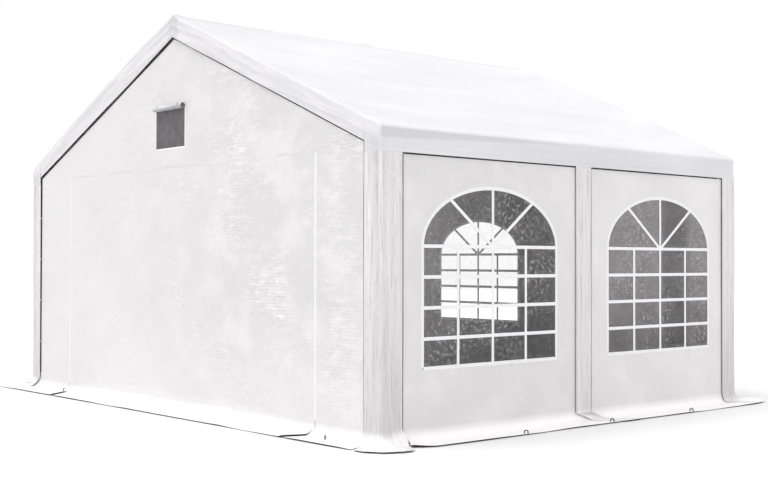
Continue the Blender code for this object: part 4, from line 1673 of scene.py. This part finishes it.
class MARQUEE_OT_zip_doors(Operator):
    """Make the zip doors"""

    bl_idname = "marquee.zip_doors"
    bl_label = "Zip doors"

    def execute(self, context):
        for end_name, end in ENDS.items():
            arch = window_arches()[4][2] if end_name == "back" else None
            door = self.door(f"door_{end_name}", end, arch)
            finish_piece(door, None, [f"zip_door_{end_name}"])
            declare_sheet(door)
        return {"FINISHED"}

    def door(self, name, end, arch):
        cloth = gable_cloth(end)
        stops = () if arch is None else arch.columns()
        levels = () if arch is None else (arch.sill, arch.spring, arch.crown)
        across = grid_lines(*door_edges(end), sizes().cell, *stops)
        up = wall_rows(cloth, DOOR_TOP - 0.0005, *levels)

        def shape(a, u):
            beside_zip = np.abs(a + end * DOOR_SHIFT) > DOOR_HALF - BESIDE_ZIP
            part_ways = ZIP_PARTING * np.sign(a) * beside_zip * spread(cloth, u)
            return skirt_slant(cloth, a, u) - part_ways, u

        keep = None if arch is None else lambda a, u: ~arch.holds(a, u)
        snap = None if arch is None else arch.snap
        curled = door_edges(end)[1 if end < 0 else 0]
        return cloth_sheet(
            name, cloth, across, up, sheet_finishes("gable"), keep=keep, snap=snap, shape=shape,
            stand=lambda a, u: zip_curl(end * (a - curled), u),
        )


# Zips


def small_object(name, build):
    """An object from a function that fills a mesh under construction."""
    bm = bmesh.new()
    build(bm)
    return built_object(name, bm)


def metal_copies(name, template, places, part="fitting"):
    """Metal copies of a template, as one piece."""
    return repeat(name, template, steel_finish(part), points=places)


def spindle(name, length, width, height, sides=4):
    """A short thread or tooth: a ring round its middle third, drawn in to a point at each end."""
    points = []
    for x in (-length / 3, length / 3):
        for k in range(sides):
            angle = 2 * math.pi * (k + 0.5) / sides
            y = 0.9 * width / 2 * math.cos(angle)
            points.append((x, y, 0.9 * height / 2 * math.sin(angle) + height * 0.3))
    points += [(-length / 2, 0, 0), (length / 2, 0, 0)]
    tip, far_tip = 2 * sides, 2 * sides + 1
    faces = []
    for k in range(sides):
        m = (k + 1) % sides
        faces += [(k, m, sides + m, sides + k), (tip, m, k), (far_tip, sides + k, sides + m)]
    return solid_object(name, points, faces)


def zip_lines(end):
    """A gable's cloth and its two zip lines, each from the foot of the zip to the top of the door."""
    low, high = door_edges(end)
    places = (low - ZIP_HALF_GAP / 2, high + ZIP_HALF_GAP / 2)
    return gable_cloth(end), [((x, ZIP_FOOT), (x, DOOR_TOP - 0.01)) for x in places]


class MARQUEE_OT_zips(Operator):
    """Make the zips beside the doors, with their tapes, teeth and sliders"""

    bl_idname = "marquee.zips"
    bl_label = "Zips"

    def execute(self, context):
        s = sizes()
        for end_name, end in ENDS.items():
            cloth, lines = zip_lines(end)
            tapes, paths = [], []
            for line in lines:
                tapes.append(tape("zip_tape", cloth, line, s.zip_width, TAPE_DEPTH))
                points, _, normals = on_cloth(cloth, line, TAPE_DEPTH)
                paths.append((points, normals))
            top = [(x, DOOR_TOP) for x in door_edges(end)]
            seam = tape("door_seam", cloth, top, *DOOR_SEAM)
            finish_piece(seam, woven_finish("gable")).name = f"door_seam_{end_name}"
            band = joined(f"zip_tape_{end_name}", tapes)
            finish_piece(band, trim_finish("tape"))
            tooth = spindle("tooth", *TOOTH)
            tooth.data.transform(Matrix.Rotation(math.pi / 2, 4, "Z"))
            name = f"zip_teeth_{end_name}"
            repeat(name, tooth, trim_finish("teeth"), lines=paths, spacing=TOOTH_SPACING)
            places = [(*cloth.spot(foot[0], foot[1] + 0.05, 0.002), -UP) for foot, _ in lines]
            metal_copies(f"zip_slider_{end_name}", small_object("slider", self.slider), places)
        return {"FINISHED"}

    def slider(self, bm):
        """A slider with a rounded body and a hanging pull tab. X is down."""
        body = bmesh.ops.create_cube(bm, size=1.0)["verts"]
        bmesh.ops.scale(bm, vec=SLIDER_BODY, verts=body)
        bmesh.ops.bevel(bm, geom=list(bm.edges), offset=0.0015, segments=2, affect="EDGES")
        known = set(bm.verts)
        bmesh.ops.create_cube(bm, size=1.0)
        tab = [v for v in bm.verts if v not in known]
        bmesh.ops.scale(bm, vec=SLIDER_TAB, verts=tab)
        bmesh.ops.translate(bm, vec=(0.021, 0, 0.0032), verts=tab)
        edges = [e for e in bm.edges if e.verts[0] in tab and e.verts[1] in tab]
        bmesh.ops.bevel(bm, geom=edges, offset=0.0006, segments=1, affect="EDGES")


# Vents


def vent_opening(end):
    """Centre, half width, foot and top of the vent's opening in a gable."""
    overlap = 0.6 * FILM_OVERLAP
    half = (SCREEN_HIGH.x - SCREEN_LOW.x) / 2 - overlap
    return end * VENT_OFFSET, half, SCREEN_LOW.z + overlap, SCREEN_HIGH.z - overlap


def tube_along(name, points, radius, sides=10):
    """A round cord or wire along points, with closed ends."""
    points = [Vector(p) for p in points]
    side = None
    corners = []
    for before, point, after in zip([points[0], *points], points, [*points[1:], points[-1]]):
        tangent = (after - before).normalized()
        if side is None:
            side = tangent.orthogonal().normalized()
        side = (side - tangent * side.dot(tangent)).normalized()
        other = tangent.cross(side)
        for k in range(sides):
            angle = 2 * math.pi * k / sides
            corners.append(point + (side * math.cos(angle) + other * math.sin(angle)) * radius)
    made = solid_object(name, corners, loft_faces(len(points), sides, False))
    made.data.shade_smooth()
    return made


class MARQUEE_OT_vents(Operator):
    """Make the vents: net, frame, rolled flap and its ties"""

    bl_idname = "marquee.vents"
    bl_label = "Vents"

    def execute(self, context):
        for end_name, end in ENDS.items():
            cloth = gable_cloth(end)
            centre, half, low, top = vent_opening(end)
            net = self.net(f"net_{end_name}", cloth, centre, half, low, top)
            left, right = centre - half - 0.005, centre + half + 0.005
            foot, head = low - 0.005, top + 0.005
            border = [(left, foot), (right, foot), (right, head), (left, head)]
            framed = tape(f"vent_frame_{end_name}", cloth, border, *VENT_FRAME, closed=True)
            finish_piece(net, None, [f"vent_screen_{end_name}"])
            finish_piece(framed, trim_finish("tape"))
            declare_sheet(net)
            roll = self.roll(f"vent_flap_{end_name}", end)
            finish_piece(roll, None, [f"vent_roll_{end_name}"])
            ties = joined(f"vent_ties_{end_name}", [self.tie(end, centre + x) for x in TIE_PLACES])
            finish_piece(ties, trim_finish("ties"))
        return {"FINISHED"}

    def net(self, name, cloth, centre, half, low, top):
        overlap = FILM_OVERLAP * 0.4
        hung = cloth.laid_on(lambda a, u: inner_face())
        across = grid_lines(centre - half - overlap, centre + half + overlap, 0.03)
        up = grid_lines(low - overlap, top + overlap, 0.03)
        return cloth_sheet(name, hung, across, up, (net_finish(), net_finish()), thickness=0.0004)

    def centre_line(self, end):
        """Where the middle of the roll lies, outwards and up."""
        return end * (WALL_FACE_Y + ROLL_STAND), (ROLL_LOW.z + ROLL_HIGH.z) / 2 + 0.0005

    def roll(self, name, end):
        """The flap rolled up: a spiral of cloth, drawn in where the ties hold it."""
        y, z = self.centre_line(end)
        centre, half = end * VENT_OFFSET - end * 0.010, 0.43 * (ROLL_HIGH.x - ROLL_LOW.x)
        across = np.linspace(-half, half, 61)
        angles = np.linspace(0, ROLL_TURNS * 2 * math.pi, 70)
        points, flat = [], []
        for x in across:
            pinches = (math.exp(-(((x - tie) / PINCH_WIDTH) ** 2)) for tie in TIE_PLACES)
            pinch = sum(TIE_PINCH * share for share in pinches)
            wave = 0.06 * smooth_noise(x * 9.0, 0.0, 3) + 0.05 * smooth_noise(x * 22.0, 1.0, 8)
            for angle in angles:
                share = angle / angles[-1]
                radius = (ROLL_CORE + ROLL_GROWTH * share) * (1 - pinch + wave)
                turn = -end * (angle - angles[-1]) + end * math.pi * 0.5
                across_roll = radius * math.sin(turn) * 1.02
                points.append((centre + x, y + across_roll, z + radius * math.cos(turn)))
                flat.append((x, 0.02 * angle))
        sheet = mesh_object(name, points, grid_faces(len(across), len(angles)), flat)
        give_thickness(sheet, woven_finish("roll"), woven_finish("inside"), 0.0012)
        return plain_mesh(sheet, sharp=60)

    def tie(self, end, x):
        """A tie round the roll."""
        angles = [2 * math.pi * k / 28 for k in range(28)]
        normals = [np.array([0.0, math.sin(angle), math.cos(angle)]) for angle in angles]
        points = [np.array([x, *self.centre_line(end)]) + normal * TIE_RADIUS for normal in normals]
        sideways = [(1.0, 0.0, 0.0)] * len(points)
        return ribbon("tie", points, sideways, normals, *TIE, closed=True)


# Cover strips


class MARQUEE_OT_cover_strips(Operator):
    """Make the strips that cover the corner and middle posts"""

    bl_idname = "marquee.cover_strips"
    bl_label = "Cover strips"

    def execute(self, context):
        for end_name, side_name in CORNERS:
            cloth, width = corner_cloth(end_name, side_name)
            shape = self.corner_shape(cloth, width, end_name, side_name)
            place, across = f"{end_name}_{side_name}", grid_lines(0.0, width, 0.008)
            self.strip(f"strip_{place}", f"corner_strip_{place}", "corner", cloth, across, shape)
        for place, side in SIDES.items():
            cloth = middle_cloth(side)
            across = grid_lines(-MIDDLE_STRIP_HALF, MIDDLE_STRIP_HALF, 0.012)
            shape = self.middle_shape(cloth, side * MIDDLE_SLANT)
            self.strip(f"strip_middle_{place}", f"middle_strip_{place}", "strip", cloth, across, shape)
        return {"FINISHED"}

    def strip(self, name, node, part, cloth, across, shape):
        """A strip from the foot of the valance to the ground."""
        up = wall_rows(cloth, VALANCE_FOOT - 0.0003)
        strip = cloth_sheet(name, cloth, across, up, sheet_finishes(part), shape=shape)
        finish_piece(strip, None, [node])
        declare_sheet(strip)

    def middle_shape(self, cloth, slant):
        """Slants a strip's skirt along the ground."""
        return lambda a, u: (a + slant * spread(cloth, u, 0.5, 0.055), u)

    def corner_shape(self, cloth, width, end_name, side_name):
        """Draws a strip's skirt in from its edges, where the walls' skirts spread."""
        slack = (end_name, side_name) == ("front", "left")
        slanted = ENDS[end_name] == SIDES[side_name]

        def shape(a, u):
            share = a / width
            if end_name == "back":
                from_gable = BACK_SPREAD * spread(cloth, u, 1.0)
            elif slack:
                from_gable = SLACK_DRAW * spread(cloth, u, 0.8)
            else:
                from_gable = TIGHT_DRAW * spread(cloth, u, 0.8, 0.0)
            if slanted:
                from_side = SIDE_DRAW * spread(cloth, u, 0.5, 0.06)
            else:
                from_side = sweep(cloth, u, STRIP_SWEEP_IN, STRIP_SWEEP_OUT)
            return a + from_gable * (1 - share) ** (1.0 if slack else 1.5) - from_side * share**2, u

        return shape


# Stitching, lacing and pegs


class MARQUEE_OT_stitching(Operator):
    """Sew the hems of the walls and strips, the window borders and the zips"""

    bl_idname = "marquee.stitching"
    bl_label = "Stitching"

    def execute(self, context):
        sew("wall_stitches", self.side_wall_lines() + self.gable_lines())
        sew("window_stitches", self.window_lines())
        sew("strip_stitches", self.strip_lines())
        return {"FINISHED"}

    def side_wall_lines(self):
        margin = 0.018
        foot, top = SEAM_FOOT, VALANCE_FOOT - sizes().top_slit - margin
        lines = []
        for place, cloth, arch in window_arches()[:4]:
            low, high = bay_edges(SIDES[place.split("_")[1]], arch)
            low, high = low + margin, high - margin
            lines.append(stitch_line(cloth, [(low, foot), (low, top), (high, top), (high, foot)]))
        return lines

    def gable_lines(self):
        s = sizes()
        lines = []
        for end in ENDS.values():
            cloth = gable_cloth(end)
            for x in door_edges(end):
                for seam in (x - 0.35 * s.zip_width, x + 0.35 * s.zip_width):
                    seam_line = [(seam, 0.09), (seam, DOOR_TOP - 0.02)]
                    lines.append(stitch_line(cloth, seam_line, TAPE_DEPTH))
            for up in (DOOR_TOP - 0.005, DOOR_TOP + 0.005):
                lines.append(stitch_line(cloth, [(x, up) for x in door_edges(end)], 0.0002))
        return lines

    def window_lines(self):
        s = sizes()
        face = s.bar_depth + BORDER_RISE - s.sheet - BEHIND_GAP
        lines = []
        for name, cloth, arch in window_arches():
            for offset in (-0.3 * s.border, 0.3 * s.border):
                outline = arch.outline(border_centre(name) + offset)
                lines.append(stitch_line(cloth, outline + outline[:1], face))
        return lines

    def strip_lines(self):
        foot, top, margin = SEAM_FOOT, VALANCE_FOOT - 0.01, 0.012
        lines = []
        for corner in CORNERS:
            cloth, width = corner_cloth(*corner)
            lines += [stitch_line(cloth, [(a, foot), (a, top)]) for a in (margin, width - margin)]
        for side in SIDES.values():
            edge = MIDDLE_STRIP_HALF - margin
            lines += [stitch_line(middle_cloth(side), [(a, foot), (a, top)]) for a in (-edge, edge)]
        return lines


def eyelet():
    """A pressed metal ring, thicker at its middle."""
    sides = 20
    angles = [2 * math.pi * k / sides for k in range(sides)]
    points = [
        (r * math.cos(angle), r * math.sin(angle), z) for angle in angles for r, z in EYELET_OUTLINE
    ]
    return solid_object("eyelet", points, loft_faces(sides, len(EYELET_OUTLINE), True))


class MARQUEE_OT_lacing(Operator):
    """Tie the front wall's slack edge to its post with cord loops through eyelets"""

    bl_idname = "marquee.lacing"
    bl_label = "Lacing"

    def execute(self, context):
        cloth = gable_cloth(-1)
        across = sizes().gable_slit - STRIP_EDGE_X + EYELET_INSET
        rings, cords = [], []
        for height in LACING_HEIGHTS:
            rings.append((*cloth.spot(across, height), UP))
            cords += [self.cord(cloth, across, height + rise) for rise in (-0.0035, 0.0035)]
        finish_piece(joined("lacing_loops", cords), cord_finish())
        metal_copies("lacing_eyelets", eyelet(), rings)
        return {"FINISHED"}

    def cord(self, cloth, across, height):
        """A cord from behind the corner strip, over the slit and down into the eyelet."""
        points = [cloth.spot(across + along, height, stand + 0.0003)[0] for along, stand in CORD_PATH]
        return tube_along("cord", points, sizes().cord / 2)


class MARQUEE_OT_pegs(Operator):
    """Set the pegs and the eyelets that hold the skirts to the ground"""

    bl_idname = "marquee.pegs"
    bl_label = "Pegs"

    def execute(self, context):
        rings, pegs = [], []
        for cloth, across, inset in self.places():
            place, normal = cloth.spot(across, cloth.foot_up + inset)
            outward = cloth.out(np.array([across]))[0]
            rings.append((place, normal, outward))
            pegs.append((place * (1, 1, 0) + UP * 0.001, UP, -outward - np.cross(UP, outward)))
        metal_copies("skirt_eyelets", eyelet(), rings)
        metal_copies("pegs", tube_along("peg", self.hook(), PEG_RADIUS, sides=8), pegs, "peg")
        return {"FINISHED"}

    def places(self):
        """The cloth, the place across it and the distance from its edge for each peg."""
        found = []
        for side in SIDES.values():
            found += [(side_cloth(side), side * y, SIDE_PEG_INSET) for y in SIDE_PEGS]
        for end in ENDS.values():
            cloth = gable_cloth(end)
            for edge, offset in zip(door_edges(end), ZIP_PEGS):
                x = edge + offset
                found.append((cloth, x, cloth.reach_at(x) - ZIP_PEG_INSET))
        return found

    def hook(self):
        """The top of a peg: a rod out of the ground that bends over."""
        radius, rise = 0.013, 0.016
        points = [(0, 0, 0.0), (0, 0, rise / 2), (0, 0, rise)]
        for k in range(1, 10):
            angle = math.pi * k / 9
            points.append((radius * (1 - math.cos(angle)), 0, rise + radius * math.sin(angle)))
        points.append((2 * radius, 0, rise / 2))
        return points


# Stage


def camera_matrix():
    """The camera's place and turn, from its yaw, pitch and roll."""
    yaw, pitch, roll = (math.radians(a) for a in (CAMERA_YAW, CAMERA_PITCH, CAMERA_ROLL))
    look = Vector((-math.sin(yaw) * math.cos(pitch), math.cos(yaw) * math.cos(pitch), math.sin(pitch)))
    right = Vector((math.cos(yaw), math.sin(yaw), 0.0))
    above = right.cross(look)
    turned_right = right * math.cos(roll) + above * math.sin(roll)
    turned_above = above * math.cos(roll) - right * math.sin(roll)
    matrix = Matrix((turned_right, turned_above, -look)).transposed().to_4x4()
    matrix.translation = Vector(CAMERA_PLACE)
    return matrix


class MARQUEE_OT_stage(Operator):
    """Set the camera, the light and the floor"""

    bl_idname = "marquee.stage"
    bl_label = "Stage"

    def execute(self, context):
        scene = context.scene
        stage = scene.marquee_stage
        camera = placed("camera", bpy.data.cameras.new("camera"))
        camera.data.lens = CAMERA_LENS
        camera.data.sensor_width = SENSOR_WIDTH
        camera.data.clip_end = 200
        camera.matrix_world = camera_matrix()
        scene.camera = camera
        scene.view_settings.view_transform = "Standard"

        world = bpy.data.worlds.new("studio")
        world.use_nodes = True
        sky = world.node_tree.nodes["Background"].inputs
        sky["Color"].default_value = (1, 1, 1, 1)
        sky["Strength"].default_value = stage.sky
        scene.world = world

        sun = bpy.data.lights.new("sun", "SUN")
        sun.energy = stage.sun
        sun.angle = math.radians(stage.sun_spread)
        lamp = placed("sun", sun)
        lamp.rotation_euler = Vector(TO_SUN).to_track_quat("Z", "Y").to_euler()

        floor = small_object("floor", lambda bm: self.disc(bm, stage.floor_radius))
        floor.data.materials.append(self.floor_finish(tuple(stage.floor_near)))
        return {"FINISHED"}

    def disc(self, bm, radius):
        bmesh.ops.create_circle(bm, cap_ends=True, radius=radius, segments=96)
        bmesh.ops.translate(bm, vec=(0, 0, -0.0005), verts=bm.verts)

    def floor_finish(self, near):
        """A pale matt floor that fades to white away from the tent."""
        finish = Finish("pale_floor", "Object")
        away = finish.add("ShaderNodeVectorMath", {0: finish.place}, "Value", operation="LENGTH")
        reach = finish.rise(away, 2.8, 7.5)
        base = finish.tint(reach, (0.0, near), (1.0, (0.84, 0.84, 0.84)))
        return finish.set(Base_Color=base, Roughness=0.95, Specular_IOR_Level=0.0)


class MARQUEE_OT_frame_finish(Operator):
    """Give the tubes, posts and connectors their steel"""

    bl_idname = "marquee.frame_finish"
    bl_label = "Frame finish"

    def execute(self, context):
        for name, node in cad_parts.items():
            for slot in node.material_slots:
                if "connector" in name:
                    slot.material = steel_finish("connector")
                elif name.startswith(("post_", "rafter_", "ridge_tube", "eave_tube")):
                    slot.material = steel_finish("tube")
        return {"FINISHED"}


OPERATORS = (
    MARQUEE_OT_stage,
    MARQUEE_OT_frame_finish,
    MARQUEE_OT_roof_cover,
    MARQUEE_OT_side_walls,
    MARQUEE_OT_gable_walls,
    MARQUEE_OT_zip_doors,
    MARQUEE_OT_windows,
    MARQUEE_OT_zips,
    MARQUEE_OT_vents,
    MARQUEE_OT_cover_strips,
    MARQUEE_OT_stitching,
    MARQUEE_OT_lacing,
    MARQUEE_OT_pegs,
)


class MARQUEE_PT_panel(Panel):
    """Lists the marquee's pieces"""

    bl_idname = "MARQUEE_PT_panel"
    bl_label = "Marquee"
    bl_space_type = "VIEW_3D"
    bl_region_type = "UI"
    bl_category = "Marquee"

    def draw(self, context):
        scene = context.scene
        for group in (scene.marquee_sizes, scene.marquee_colours, scene.marquee_stage):
            for name in group.__annotations__:
                self.layout.prop(group, name)
        for operator in OPERATORS:
            self.layout.operator(operator.bl_idname)


CLASSES = (MarqueeSizes, MarqueeColours, MarqueeStage, *OPERATORS, MARQUEE_PT_panel)


def register():
    for item in CLASSES:
        bpy.utils.register_class(item)
    bpy.types.Scene.marquee_sizes = PointerProperty(type=MarqueeSizes)
    bpy.types.Scene.marquee_colours = PointerProperty(type=MarqueeColours)
    bpy.types.Scene.marquee_stage = PointerProperty(type=MarqueeStage)


def unregister():
    del bpy.types.Scene.marquee_stage
    del bpy.types.Scene.marquee_colours
    del bpy.types.Scene.marquee_sizes
    for item in reversed(CLASSES):
        bpy.utils.unregister_class(item)


def main():
    register()
    for operator in OPERATORS:
        group, action = operator.bl_idname.split(".")
        getattr(getattr(bpy.ops, group), action)()


if __name__ == "__main__":
    main()
